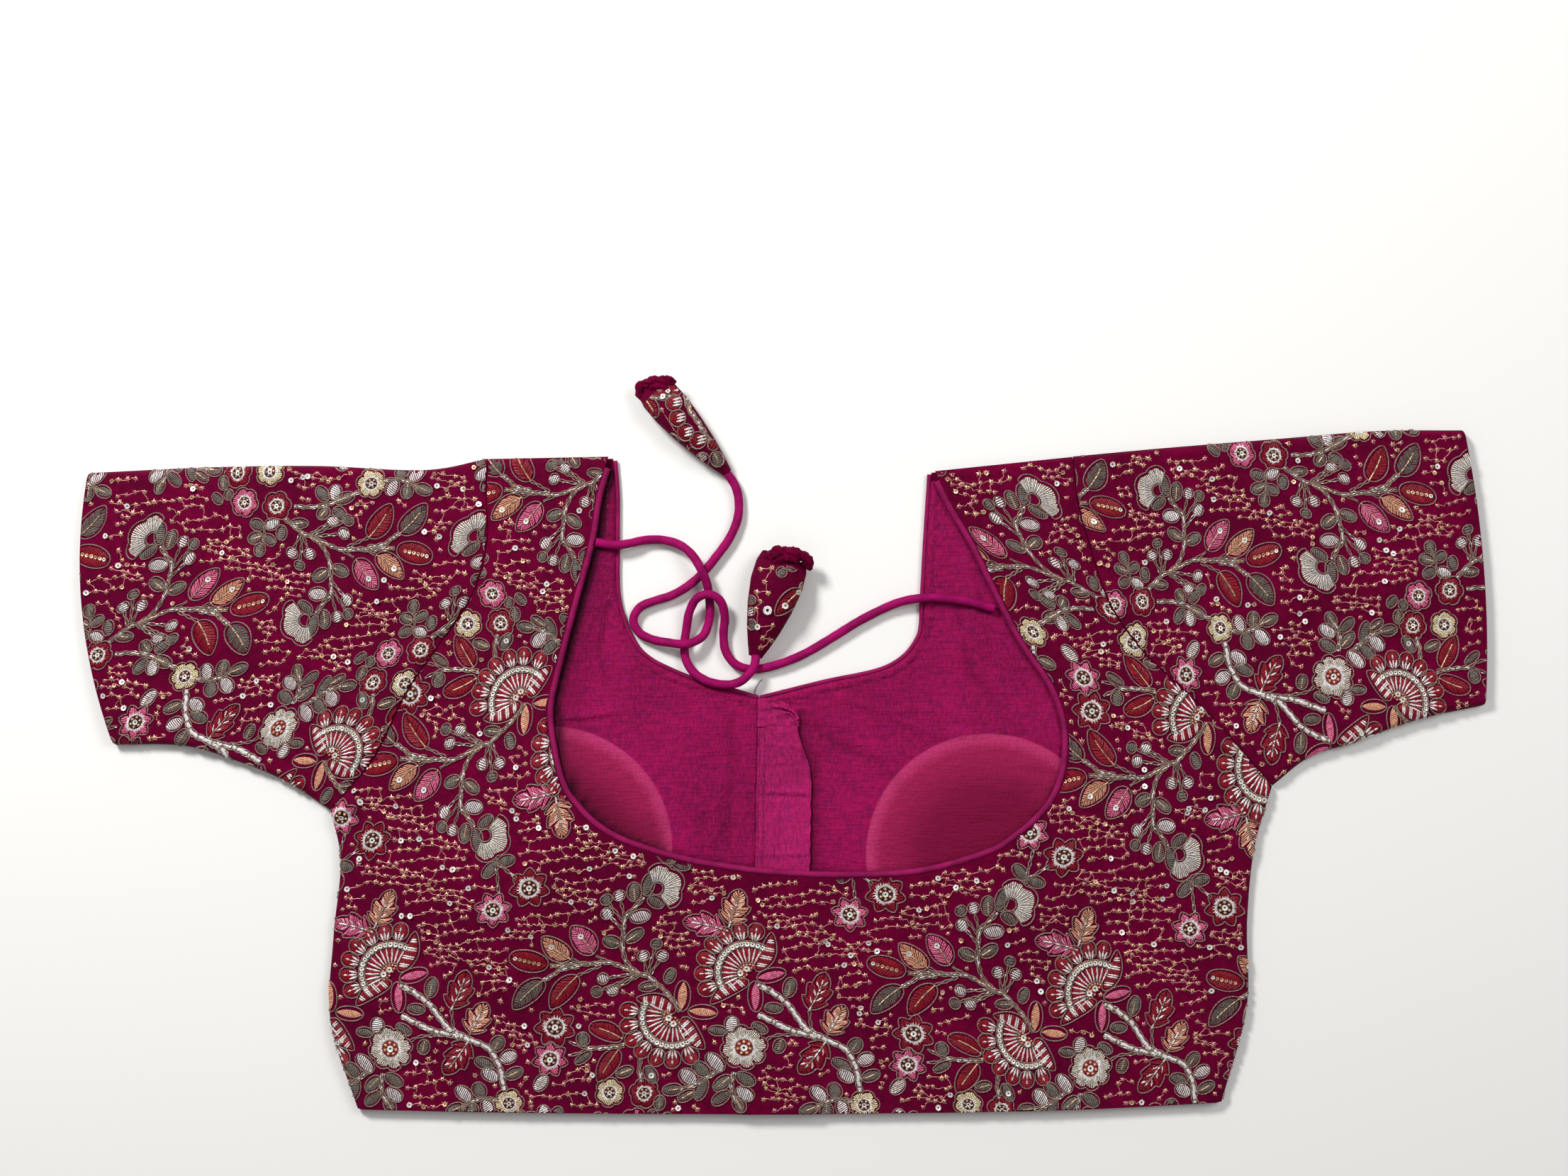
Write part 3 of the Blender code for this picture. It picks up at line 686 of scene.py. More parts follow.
def make_thread(name, base, gloss):
    """Floss, cord or metal thread: strands of uneven tone, the lightest of them painted glints."""
    metal, roughness = gloss
    f = Finish(name, base, roughness, Metallic=metal, Specular_IOR_Level=0.3 + 0.4 * (metal > 0))
    strands_and_glints = f.noise(0.0006)
    # strands lighter and darker at random; the lightest stand in for glints, as painted highlights
    colour = f.mix(strands_and_glints.step(0.3, 0.7), 0.66, 1.25)
    colour = f.mix(f.noise(0.006, 1).step(0.3, 0.7) * 0.25, colour, 0.8)
    return f.feed(Base_Color=colour, Normal=f.bump(strands_and_glints, 0.00025, 0.7)).material


MAROON, PINK, PEACH, CREAM = "maroon floss", "pink floss", "peach floss", "cream floss"
MINT, GREY, DARK, SEWING = "mint floss", "grey floss", "dark floss", "sewing thread"
SILVER, GOLD, ROSE = "silver thread", "gold thread", "rose gold thread"
OLIVE, SEQUIN = "olive cord", "gold sequin"
# metallic and roughness of each sheen, then the colour and sheen of each thread
SILKY, METAL, SILVERY, BRIGHT = (0.0, 0.42), (0.5, 0.34), (0.15, 0.3), (0.12, 0.22)
THREADS = {
    MAROON: ((128, 0, 26), SILKY), PINK: ((208, 98, 134), SILKY),
    PEACH: ((226, 152, 120), SILKY), CREAM: ((230, 196, 154), SILKY),
    MINT: ((198, 190, 176), SILKY), GREY: ((100, 93, 85), SILKY),
    SILVER: ((248, 226, 220), SILVERY), GOLD: ((208, 162, 128), METAL),
    OLIVE: ((130, 110, 98), SILKY), ROSE: ((196, 134, 122), METAL),
    SEQUIN: ((255, 246, 228), BRIGHT), DARK: ((58, 4, 20), SILKY),
    SEWING: ((118, 14, 62), SILKY),
}
TONES = list(THREADS)


# ---- Stitches, in millimetres across, up and above the cloth ----------------
HAND = np.random.default_rng(3)
CORD_WIDTH, CORD_HEIGHT = 0.64, 0.78
# across and up a half-round cord, as shares of its width and height
CORD_SECTION = ((-0.5, 0), (-0.24, 0.86), (0.24, 0.86), (0.5, 0))
RIDGE = 0.28                # of a satin stitch along its middle
STITCH = 1.0                # between two satin stitches
LEAF_MARGIN, OVAL_MARGIN = 0.95, 0.7   # bare cloth between satin and its outline


def polar(x, y, angles, radii):
    return np.stack([x + radii * np.cos(angles), y + radii * np.sin(angles)], -1)


def rings_round(centres, sides, rows):
    """Rings about each centre, with a radius and a height for each."""
    centres = np.atleast_2d(np.asarray(centres, float))
    mesh = np.zeros((len(centres), sides, len(rows), 3))
    out = polar(0, 0, all_round(sides), 1)
    for j, (radius, height) in enumerate(rows):
        mesh[:, :, j, :2] = centres[:, None] + out * radius
        mesh[:, :, j, 2] = height
    return mesh


class Work:
    """Embroidery as quads, each of one thread."""

    def __init__(self, coarse=1.0):
        self.points, self.quads, self.threads, self.count = [], [], [], 0
        self.coarse = coarse

    def add(self, mesh, quads, thread, flecks=()):
        """Adds quads of one thread, or with a share of their rows in another."""
        points = mesh.reshape(-1, 3)
        threads = np.full(len(quads), TONES.index(thread))
        for other, share, across in flecks:
            rows = threads.reshape(-1, across)
            rows[HAND.random(len(rows)) < share] = TONES.index(other)
        self.take(points, quads, threads)

    def take(self, points, quads, threads):
        """Adds quads, each of its own thread."""
        self.points.append(points)
        self.quads.append(quads + self.count)
        self.threads.append(threads)
        self.count += len(points)

    def joined(self):
        return np.vstack(self.points), np.vstack(self.quads), np.concatenate(self.threads)

    def cut(self, outline):
        """Drops the quads that aren't whole within an outline."""
        points, quads, threads = self.joined()
        whole = inside(points[:, :2], outline)[quads].all(1)
        self.points, self.quads, self.threads = [points], [quads[whole]], [threads[whole]]

    def stitches(self, starts, ends, thread, fill=0.86, rise=0.5, lift=0.1):
        """Satin stitches side by side, each arched from a start to an end."""
        uneven = HAND.uniform(0.8, 1.2, (len(starts), 1)) * fill / 2
        sides = [np.gradient(p, axis=0) * uneven for p in (starts, ends)]
        mesh = np.zeros((len(starts), 3, 3, 3))
        for i, along in enumerate((0, 0.5, 1)):
            middle = starts + (ends - starts) * along
            side = sides[0] * (1 - along) + sides[1] * along
            arch = lift + rise * (1 - (2 * along - 1) ** 2)
            for j, across in enumerate((-1, 0, 1)):
                mesh[:, i, j, :2] = middle + side * across
                mesh[:, i, j, 2] = arch + RIDGE * (across == 0)
        self.add(mesh, grid_quads(3, 3, len(starts)), thread)

    def cord(self, line, thread=OLIVE, width=CORD_WIDTH, closed=False, lift=0.0,
             high=CORD_HEIGHT, sway=0.0, phase=0.0, flecks=()):
        """A couched cord: a half-round strip whose plies turn from side to side."""
        count = max(3, int(line_length(line, closed) / self.coarse))
        line = even(line, count, closed)
        side = right_of(line, closed)
        turn = np.where(np.arange(count) % 2, 1.0, -1.0)
        line = line + side * (sway * np.sin(np.arange(count) * 1.3 * self.coarse
                                            + phase))[:, None]
        mesh = np.zeros((1, count, 4, 3))
        for j, (across, tall) in enumerate(CORD_SECTION):
            shift = across + 0.1 * turn * (tall > 0)
            mesh[0, :, j, :2] = line + side * (width * shift)[:, None]
            mesh[0, :, j, 2] = lift + high * tall * (1 + 0.16 * turn * np.sign(across))
        self.add(mesh, grid_quads(count, 4, around=closed), thread,
                 [(*fleck, 3) for fleck in flecks])

    def strokes(self, starts, ends, thread=SILVER, width=1.0, high=0.55, lift=0.4):
        """Fat single stitches, each pointed at its ends."""
        run = ends - starts
        side = sideways(run)
        mesh = np.zeros((len(starts), 3, 3, 3))
        for i, (along, wide) in enumerate(((0, 0.35), (0.5, 1.0), (1, 0.35))):
            for j, across in enumerate((-0.5, 0, 0.5)):
                mesh[:, i, j, :2] = starts + run * along + side * (across * wide * width)
                mesh[:, i, j, 2] = lift + high * (1 - abs(across) * 1.6) * (0.4 + 0.6 * wide)
        self.add(mesh, grid_quads(3, 3, len(starts)), thread)

    def sequins(self, centres, radius, thread=SEQUIN, lift=1.2, tilt=0.22):
        """Flat rings with a hole, each tilted its own way."""
        sides = 8
        mesh = rings_round(centres, sides, ((radius, lift), (0.34 * radius, lift - 0.15)))
        lean = HAND.uniform(-tilt, tilt, (len(mesh), 1, 1, 2))
        middle = mesh[..., :2].mean(axis=(1, 2), keepdims=True)
        mesh[..., 2] += ((mesh[..., :2] - middle) * lean).sum(-1)
        self.add(mesh, grid_quads(sides, 2, len(mesh), around=True), thread)

    def knots(self, centres, radius):
        """Round knots or beads of gold thread."""
        lift = 0.4
        mesh = rings_round(centres, 6, ((radius, lift), (0.6 * radius, lift + radius)))
        first = np.arange(len(mesh))[:, None] * 12
        tops = np.concatenate([first + (1, 3, 5, 7), first + (1, 7, 9, 11)])
        quads = np.vstack([grid_quads(6, 2, len(mesh), around=True), tops])
        self.add(mesh, quads, GOLD)

    def stars(self, centres, size, thread=GOLD):
        """Little spiky stars of metal thread round a ring."""
        spikes, count = 6, len(centres)
        size = size * HAND.uniform(0.85, 1.15, (count, 1, 1))
        angles = (all_round(spikes) + HAND.uniform(0, 6.28, (count, 1))
                  + HAND.uniform(-0.25, 0.25, (count, spikes)))
        out = polar(0, 0, angles, 1)
        side = np.stack([-out[..., 1], out[..., 0]], -1) * 0.26
        reach = size * HAND.uniform(0.70, 1.15, (count, spikes, 1))
        mesh = np.zeros((count, spikes, 2, 2, 3))
        corners = ((0, 0, 0.5, 1, 0.15), (0, 1, None, 0, 0.2), (1, 1, 0.5, -1, 0.15),
                   (1, 0, 0.42, 0, 0.7))
        for i, j, share, turn, tall in corners:
            far = reach if share is None else size * share
            mesh[:, :, i, j, :2] = centres[:, None] + out * far + side * turn
            mesh[:, :, i, j, 2] = tall
        self.add(mesh, grid_quads(2, 2, count * spikes), thread)
        ring = rings_round(centres, 5, ((0.56 * size, 0.35), (0.24 * size, 0.65)))
        self.add(ring, grid_quads(5, 2, count, around=True), thread)

    def threads_between(self, starts, ends):
        """Thin wavering threads, one between each start and end."""
        stations, width = 5, 0.4
        along = np.linspace(0, 1, stations)[:, None]
        run = ends - starts
        side = sideways(run)
        sway = HAND.uniform(-0.8, 0.8, (len(starts), stations, 1))
        sway[:, (0, -1)] = 0
        line = starts[:, None] + run[:, None] * along + side[:, None] * sway
        mesh = np.zeros((len(starts), stations, 3, 3))
        for j, (across, tall) in enumerate(((-0.5, 0.05), (0, 0.4), (0.5, 0.05))):
            mesh[:, :, j, :2] = line + side[:, None] * across * width
            mesh[:, :, j, 2] = tall
        self.add(mesh, grid_quads(stations, 3, len(starts)), ROSE)


# ---- Motifs -----------------------------------------------------------------
def half_width(shape, t):
    """A leaf's half width at t from its base to its tip, as a share of its widest."""
    if shape == "oval":
        return np.sqrt(np.clip(1 - (2 * t - 1) ** 2, 0, 1))
    if shape == "blunt":
        return np.clip(np.sin(math.pi * t), 0, 1) ** 0.42
    pointed = np.clip(t, 0, 1) ** 0.55 * np.clip(1 - t, 0, 1) ** 0.75 / 0.4125
    if shape == "oak":
        return pointed * (0.66 + 0.40 * ((2.9 * t + 0.15) % 1) ** 0.8)
    return pointed


class Rib:
    """The middle line of a leaf from its base to its tip, a little bowed."""

    def __init__(self, x0, y0, x1, y1, bow=0.0):
        self.base, self.run = np.array([x0, y0]), np.array([x1 - x0, y1 - y0])
        self.length = np.linalg.norm(self.run)
        self.side = np.array([self.run[1], -self.run[0]]) / self.length
        self.bow = bow * self.length

    def at(self, t, across=0.0):
        t = np.asarray(t)
        away = self.bow * np.sin(math.pi * t) + across
        return self.base + self.run * t[:, None] + self.side * away[:, None]


def outline_of(work, rib, shape, width):
    t = np.linspace(0, 1, 30)
    half = half_width(shape, t) * width / 2 + 0.25 * np.sin(math.pi * t) ** 0.3
    right, left = rib.at(t, half), rib.at(t[::-1], -half[::-1])
    work.cord(np.vstack([right, left[1:-1]]), closed=True)


def filled(work, rib, shape, width, thread, t, margin, fill, slant=0.0):
    """Satin straight across a shape at t along its rib, in a cord outline."""
    half = np.maximum(half_width(shape, t) * width / 2 - margin, 0.4)
    work.stitches(rib.at(t - slant, -half), rib.at(t + slant, half), thread, fill, 0.6)
    outline_of(work, rib, shape, width)


def leaf(work, shape, thread, heart, x0, y0, x1, y1, width):
    """A leaf of slanted satin stitches either side of its rib, in a cord outline."""
    rib = Rib(x0, y0, x1, y1, HAND.uniform(-0.05, 0.05))
    count = max(5, int(rib.length * 0.86 / (STITCH * work.coarse)))
    t = np.linspace(0.06, 0.86, count)
    reach = np.minimum(t + 0.13, 0.95) + HAND.uniform(-0.008, 0.008, count)
    for turn in (-1, 1):
        half = np.maximum(half_width(shape, reach) * width / 2 - LEAF_MARGIN, 0.5)
        half = half * HAND.uniform(0.9, 1.04, count)
        starts, ends = rib.at(t), rib.at(reach, turn * half)
        work.stitches(starts[::turn], ends[::turn], thread, 0.8 if thread == MAROON else 0.62)
    outline_of(work, rib, shape, width)
    if heart in ("gold", "sequin"):
        work.cord(rib.at(np.linspace(0.0, 0.72, 8)), GOLD, 0.75, lift=0.4, high=0.5,
                  flecks=[(OLIVE, 0.3)])
    if heart == "sequins":
        work.sequins(rib.at(np.linspace(0.24, 0.72, 5)), 1.05, GOLD, lift=1.0)
        work.sequins(rib.at([0.84]), 1.1, lift=1.1)
    if heart == "sequin":
        work.sequins(rib.at([0.62]), 1.6)
    if heart == "silver":
        work.cord(rib.at(np.linspace(-0.06, 0.8, 8)), OLIVE, 0.9, lift=0.35, high=0.6,
                  flecks=[(SILVER, 0.4)])
        fat = 1.15 if thread == MAROON else 0.75
        for turn in (-1, 1):
            t0 = np.array([0.22, 0.42, 0.62]) + 0.04 * turn
            work.strokes(rib.at(t0, turn * 0.9), rib.at(t0 + 0.13, turn * width * 0.2),
                         width=fat)


def oval(work, thread, x0, y0, x1, y1, width, heart="plain", margin=OVAL_MARGIN):
    """A small oval of stitches laid straight across, in a cord outline."""
    rib = Rib(x0, y0, x1, y1)
    count = max(4, int(rib.length * 0.9 / (STITCH * work.coarse)))
    filled(work, rib, "oval", width, thread, np.linspace(0.11, 0.89, count), margin,
           0.6 if thread == SILVER else 0.8, slant=0.05)
    if heart == "gold":
        work.cord(rib.at(np.linspace(0.1, 0.72, 6)), GOLD, 0.8, lift=0.6, high=0.4,
                  flecks=[(OLIVE, 0.3)])
    if heart == "sequin":
        work.sequins(rib.at([0.55]), 1.5, lift=1.1)


def sepal(work, thread, x0, y0, x1, y1, width):
    """A narrow stitched leaf well inside its outline."""
    oval(work, thread, x0, y0, x1, y1, width, margin=1.6)


def berry(work, thread, x, y, radius, *stalk):
    """A round berry on a stalk that comes from the last place named."""
    centre, last = np.array([x, y]), np.array(stalk[-1])
    out = (centre - last) / np.linalg.norm(centre - last) * radius
    oval(work, thread, *(centre - out), *(centre + out), 2 * radius)
    stem(work, "stalk", *stalk, tuple(centre - out))


STEM_KINDS = {      # half the gap of the outer cords, then the middle cord and its flecks
    "twin": (0.9, OLIVE, 0.9, [(SILVER, 0.35), (GOLD, 0.15)]),
    "stalk": (0.48, None, 0, ()),
    "silver": (1.4, SILVER, 1.9, [(OLIVE, 0.22)]),
}


def stem(work, kind, *places):
    """Couched cords side by side that waver like a braid."""
    gap, middle, width, flecks = STEM_KINDS[kind]
    line = curve(places, 6 * len(places))
    side = right_of(line)
    for turn, phase in ((1, 0.0), (-1, 2.4)):
        work.cord(line + side * gap * turn, sway=0.24, phase=phase, flecks=[(SILVER, 0.06)])
    if middle:
        work.cord(line, middle, width, lift=0.15, high=0.65, sway=0.2, phase=1.0,
                  flecks=flecks)


def petal_reach(shape, petals, angles, turn, depth=1.0):
    """How far a flower's edge reaches, as a share of its radius."""
    phase = (petals * (angles - turn) / math.tau) % 1 - 0.5
    if shape == "star":
        return 1 - 0.34 * depth * (1 - (1 - np.abs(2 * phase)) ** 0.75)
    return 1 - 0.24 * depth * (1 - np.sqrt(np.clip(1 - (1.94 * phase) ** 2, 0, 1)))


FLOWER_HEART, FLOWER_KNOTS = 0.40, 0.25     # radii, as shares of the flower's


def flower(work, shape, thread, x, y, radius, petals, centre=GOLD):
    """A round flower of satin petals with bright stitches round a dark middle of knots."""
    turn = HAND.uniform(0, 1)
    count = int(math.tau * radius * 0.76 / (STITCH * work.coarse))
    angles = all_round(count)
    reach = petal_reach(shape, petals, angles, turn, 1.25) * (radius - 0.9)
    starts = polar(x, y, angles, FLOWER_HEART * radius)
    ends = polar(x, y, angles, reach * HAND.uniform(0.92, 1.0, count))
    work.stitches(starts, ends, thread, 0.72)
    short = angles[::1 if work.coarse < 1.5 else 2] + 0.04
    work.strokes(polar(x, y, short, 0.36 * radius),
                 polar(x, y, short, radius * HAND.uniform(0.46, 0.62, len(short))),
                 width=0.62, lift=0.45, high=0.4)
    fine = all_round(96)
    work.cord(polar(x, y, fine, petal_reach(shape, petals, fine, turn) * radius), closed=True)
    middle = all_round(18)
    work.stitches(polar(x, y, middle, 0.02 * radius),
                  polar(x, y, middle, FLOWER_HEART * radius),
                  MAROON if centre == MAROON else DARK, 0.9, 0.3, 0.1)
    knots = 7 if centre == MAROON else 6
    spread = HAND.uniform(0, 6.28) + all_round(knots)
    work.knots(polar(x, y, spread, FLOWER_KNOTS * radius), 0.07 * radius + 0.15)
    work.sequins([(x, y)], 0.11 * radius + 0.45, lift=1.0)


PALMETTE_OUTER, PALMETTE_INNER, PALMETTE_PETAL = 27.5, 18.0, 8.0
SEQUIN_ARC, ARC_CORDS, STRIPS, CORE = 15.6, (14.0, 17.2), (6.6, 13.2), 5.8


def palmette(work, x, y, facing, petals):
    """A half-round flower: a core of knots, strips, an arc of sequins, then round petals."""
    facing = math.radians(facing)
    half = np.linspace(-1.5, 1.5, 34)

    def rays(angles, inner, outer):
        return polar(x, y, angles, inner), polar(x, y, angles, outer)
    work.stitches(*rays(facing + half[::2] * 0.93, *STRIPS), MAROON, 0.95)
    work.strokes(*rays(facing + np.linspace(-1.36, 1.36, 13), STRIPS[0] - 0.4, STRIPS[1] + 0.3),
                 width=1.15, lift=0.5, high=0.45)
    for radius in ARC_CORDS + (CORE,):
        work.cord(polar(x, y, facing + half * 0.97, radius))
    for radius in (ARC_CORDS[0] + 0.8, ARC_CORDS[1] - 0.8):
        work.cord(polar(x, y, facing + half * 0.95, radius), GOLD, 0.9,
                  flecks=[(OLIVE, 0.35)])
    arc = facing + np.linspace(-1.35, 1.35, 17)
    work.sequins(polar(x, y, arc, SEQUIN_ARC), 1.25, lift=0.9)
    work.stitches(*rays(facing + np.linspace(-1.55, 1.55, 12), 0.3, CORE), MAROON, 1.0, 0.3)
    for radius, count in ((1.4, 3), (3.1, 6), (4.7, 9)):
        spread = facing + np.linspace(-1.35, 1.35, count)
        work.knots(polar(x, y, spread, radius), 0.66)
    work.sequins(polar(x, y, facing + np.array([-0.5, 0.7]), np.array([2.6, 4.0])), 1.6)
    for angle in np.radians(petals):
        ends = polar(x, y, angle, np.array([PALMETTE_INNER, PALMETTE_OUTER]))
        rib = Rib(*ends[0], *ends[1])
        t = np.linspace(0.1, 0.92, max(4, int(9 / work.coarse)))
        filled(work, rib, "oval", PALMETTE_PETAL, MAROON, t, 0.9, 0.9)
        across = np.array([-1.0, 0.0, 1.0])
        work.strokes(rib.at(np.array([0.0, 0.04, 0.0]), across),
                     rib.at(np.array([0.42, 0.46, 0.42]), across * 2.1), width=1.15, lift=0.65)
        work.strokes(rib.at([0.5]), rib.at([0.74]), width=1.0, lift=0.7)


def wing(work, x0, y0, x1, y1, width):
    """A maroon side leaf of a palmette, crossed by silver bands."""
    rib = Rib(x0, y0, x1, y1, 0.08)
    count = max(6, int(rib.length / (STITCH * work.coarse)))
    filled(work, rib, "plain", width, MAROON, np.linspace(0.08, 0.92, count), 1.0, 0.92)
    at = np.array([0.16, 0.21, 0.36, 0.41, 0.56, 0.61, 0.76, 0.81])
    reach = np.maximum(half_width("plain", at) * width / 2 - 1.1, 0.4)
    work.strokes(rib.at(at - 0.02, -reach), rib.at(at + 0.02, reach), width=1.1, lift=0.6)


def crescent(work, x, y):
    """A flower seen from the side: a ruffled pale band round a hole, with two sepals."""
    def ruffle(angles, size):
        return size * (1 + 0.16 * np.abs(np.sin(angles * 2.6 + 0.5)) - 0.12)
    centre = (x + 1.5, y + 0.5)
    for share, thread, fill, lift in ((1.0, MINT, 0.7, 0.1), (0.72, SILVER, 0.3, 0.6)):
        angles = np.radians(np.linspace(-62, 118, int(30 / work.coarse)))
        starts = polar(x, y, angles, 3.9)
        ends = polar(*centre, angles, ruffle(angles, 11.2) * HAND.uniform(0.94, 1.0, len(angles)))
        if share < 1:
            starts, ends = starts[1::2], ends[1::2]
        work.stitches(starts, starts + (ends - starts) * share, thread, fill, 0.7, lift)
    fine = np.radians(np.linspace(-66, 122, 60))
    outside = polar(*centre, fine, ruffle(fine, 12.6))
    work.cord(np.vstack([outside, polar(x, y, fine[::-1], 3.1)]), closed=True)
    work.cord(polar(x, y, np.radians(np.linspace(118, 298, 16)), 3.2))
    oval(work, GREY, x - 5.5, y - 3.5, x - 3.5, y + 8.5, 6.4)
    oval(work, GREY, x - 4.5, y - 4.5, x + 3.5, y - 9.5, 6.0)


# ---- The chart: one repeat of the embroidery, in millimetres ----------------
REPEAT = 180.0              # along a row
MIRROR_ABOVE, MIRROR_BELOW = 71.0, -106.5
ROW = MIRROR_ABOVE - MIRROR_BELOW
# shape, thread, heart, base, tip and width
FAN_LEAVES = [
    ("blunt", MAROON, "sequins", -81, 17.5, -101, 22.5, 11.5),
    ("plain", PEACH, "sequin", -69.5, 20.5, -84.5, 33.5, 11),
    ("plain", PINK, "sequin", -58, 23, -69.5, 39, 12),
    ("plain", GREY, "gold", -83, 9.5, -98.5, -6.5, 11),
    ("plain", MAROON, "gold", -66, 11.5, -79.5, -6.5, 11),
]
FAN_STEMS = [
    ("twin", (-31, 10), (-38, 12.5), (-45, 16), (-51, 18), (-60, 17.5), (-70, 17.5), (-80, 17)),
    ("twin", (-36, 12), (-41, 17), (-43.5, 25), (-43.5, 29), (-43, 36), (-42, 42), (-37, 47),
     (-33, 51.5)),
    ("stalk", (-51, 18.5), (-57, 22)),
    ("stalk", (-56, 18), (-64, 18.5), (-69, 20.5)),
    ("twin", (-65, 16.5), (-74, 15), (-80, 11), (-83, 9.5)),
    ("stalk", (-54, 16.5), (-60, 14), (-66, 11.5)),
]
# thread, base, tip, width and heart
FAN_OVALS = [
    (SILVER, -40, 40.5, -29.5, 42.5, 7), (GREY, -42, 28.5, -33, 34.5, 6, "gold"),
    (GREY, -44.5, 27.5, -53.5, 30.5, 6.5, "gold"), (GREY, -37.5, 49.5, -38.5, 60, 7, "gold"),
    (GREY, -21, 5.5, -18, 13.5, 5.5), (GREY, -25, 5, -35, 4, 5, "gold"),
]
# thread, centre, radius and the places its stalk comes from
BERRIES = [
    (SILVER, -45.5, 53.5, 2.9, (-42.3, 41)), (GREY, -52, 52, 2.9, (-43, 39)),
    (SILVER, -51.5, 44.5, 3.1, (-43.4, 35)), (SILVER, -33, 20.5, 2.9, (-31, 11)),
    (GREY, -26.5, 26.5, 2.7, (-30.5, 11), (-28.6, 19)), (SILVER, -23.5, 20, 2.9, (-29.5, 10.5)),
    (SILVER, -53, 9.5, 2.9, (-35.5, 11.5)), (GREY, -56, 2.5, 2.9, (-35, 11), (-45, 6.8)),
    (SILVER, -48, 3, 2.9, (-34.5, 10.5), (-41, 6.8)),
]
CRESCENT = (-26.5, 55.5)
FAN_FLIP = (-36, -73)       # the second fan: turned over, moved by these and leaned
FAN_LEAN, FAN_ROOT_Y = 0.18, -83

PALMETTES = [
    (20, 12, 142.5, [82 + 20.2 * k for k in range(7)]),
    (-17, -11, 231, (171.5, 192, 211, 230, 251, 271, 294)),
]
WINGS = [(24, 13, 31, 35, 8), (20, 8, 1, -5, 8), (-16, -9, -36, -1.5, 8),
         (-12.5, -12, -1, -28.5, 9)]
SEPALS = [(PINK, 24, 9, 38.5, 14, 7.2), (PINK, 23, 8, 24, -8.5, 7.2),
          (PEACH, -13, -9, -13, 7, 7.6), (PEACH, -10, -9, 5, -9.5, 7.2)]
LEAVES = [
    ("oak", PINK, "silver", 8, 34, -13.5, 38, 14), ("oak", PEACH, "silver", 10, 37, 15.5, 56.5, 15),
    ("blunt", MAROON, "gold", -42, -22.5, -59.5, -15.5, 9.5),
    ("plain", MAROON, "gold", -44, -28, -54.5, -45, 10),
    ("oak", MAROON, "silver", 50.5, -6, 58, 15, 14), ("oak", PEACH, "silver", 60, -19, 68, -2.5, 14),
    ("oak", MAROON, "silver", 59, -23, 46, -40.5, 14),
]
STEMS = [
    ("twin", (-14, -9), (-17, -4), (-22, 2), (-31, 10.5)),
    ("twin", (-57, -75), (-67, -83)),
    ("twin", (-41, -26), (-50, -27), (-60, -27.5)),
    ("stalk", (-60, -27.5), (-65, -26), (-70, -23.5)),
    ("stalk", (-60, -27.5), (-65, -30), (-70, -31)),
    ("stalk", (-20, 67), (-19.4, 68.9), (-17.4, 84.9)),
    ("stalk", (-19, 69), (-8.4, 76.9)),
    ("twin", (-32.5, -33), (-33, -39), (-31.5, -45)),
    ("stalk", (29, -23), (34, -20.5), (40, -20), (48, -20), (57, -22)),
    ("twin", (14, -40), (13, -47), (14, -53), (16, -56)),
    ("twin", (9, -38), (4, -41), (-2, -45), (-8, -48), (-12, -49)),
    ("silver", (24.5, 6.5), (34, 1), (40, -4), (45, -11), (50, -17), (59, -21.5)),
    ("silver", (25, -9.5), (33, -13.5), (42, -17.5), (50, -19.5), (59, -22)),
    ("silver", (58, -21.5), (68, -26), (72, -31), (75, -38), (76, -45), (77, -49)),
    ("stalk", (50.5, -6), (51.5, -15), (54, -20)), ("stalk", (59, -22), (59.5, -20)),
    ("twin", (76, -55), (66, -53.5), (58, -56), (54, -59)),
    ("twin", (84, -60), (99, -67), (110, -69), (118, -68.5)),
    ("stalk", (-46.5, -77), (-45, -88)),
]
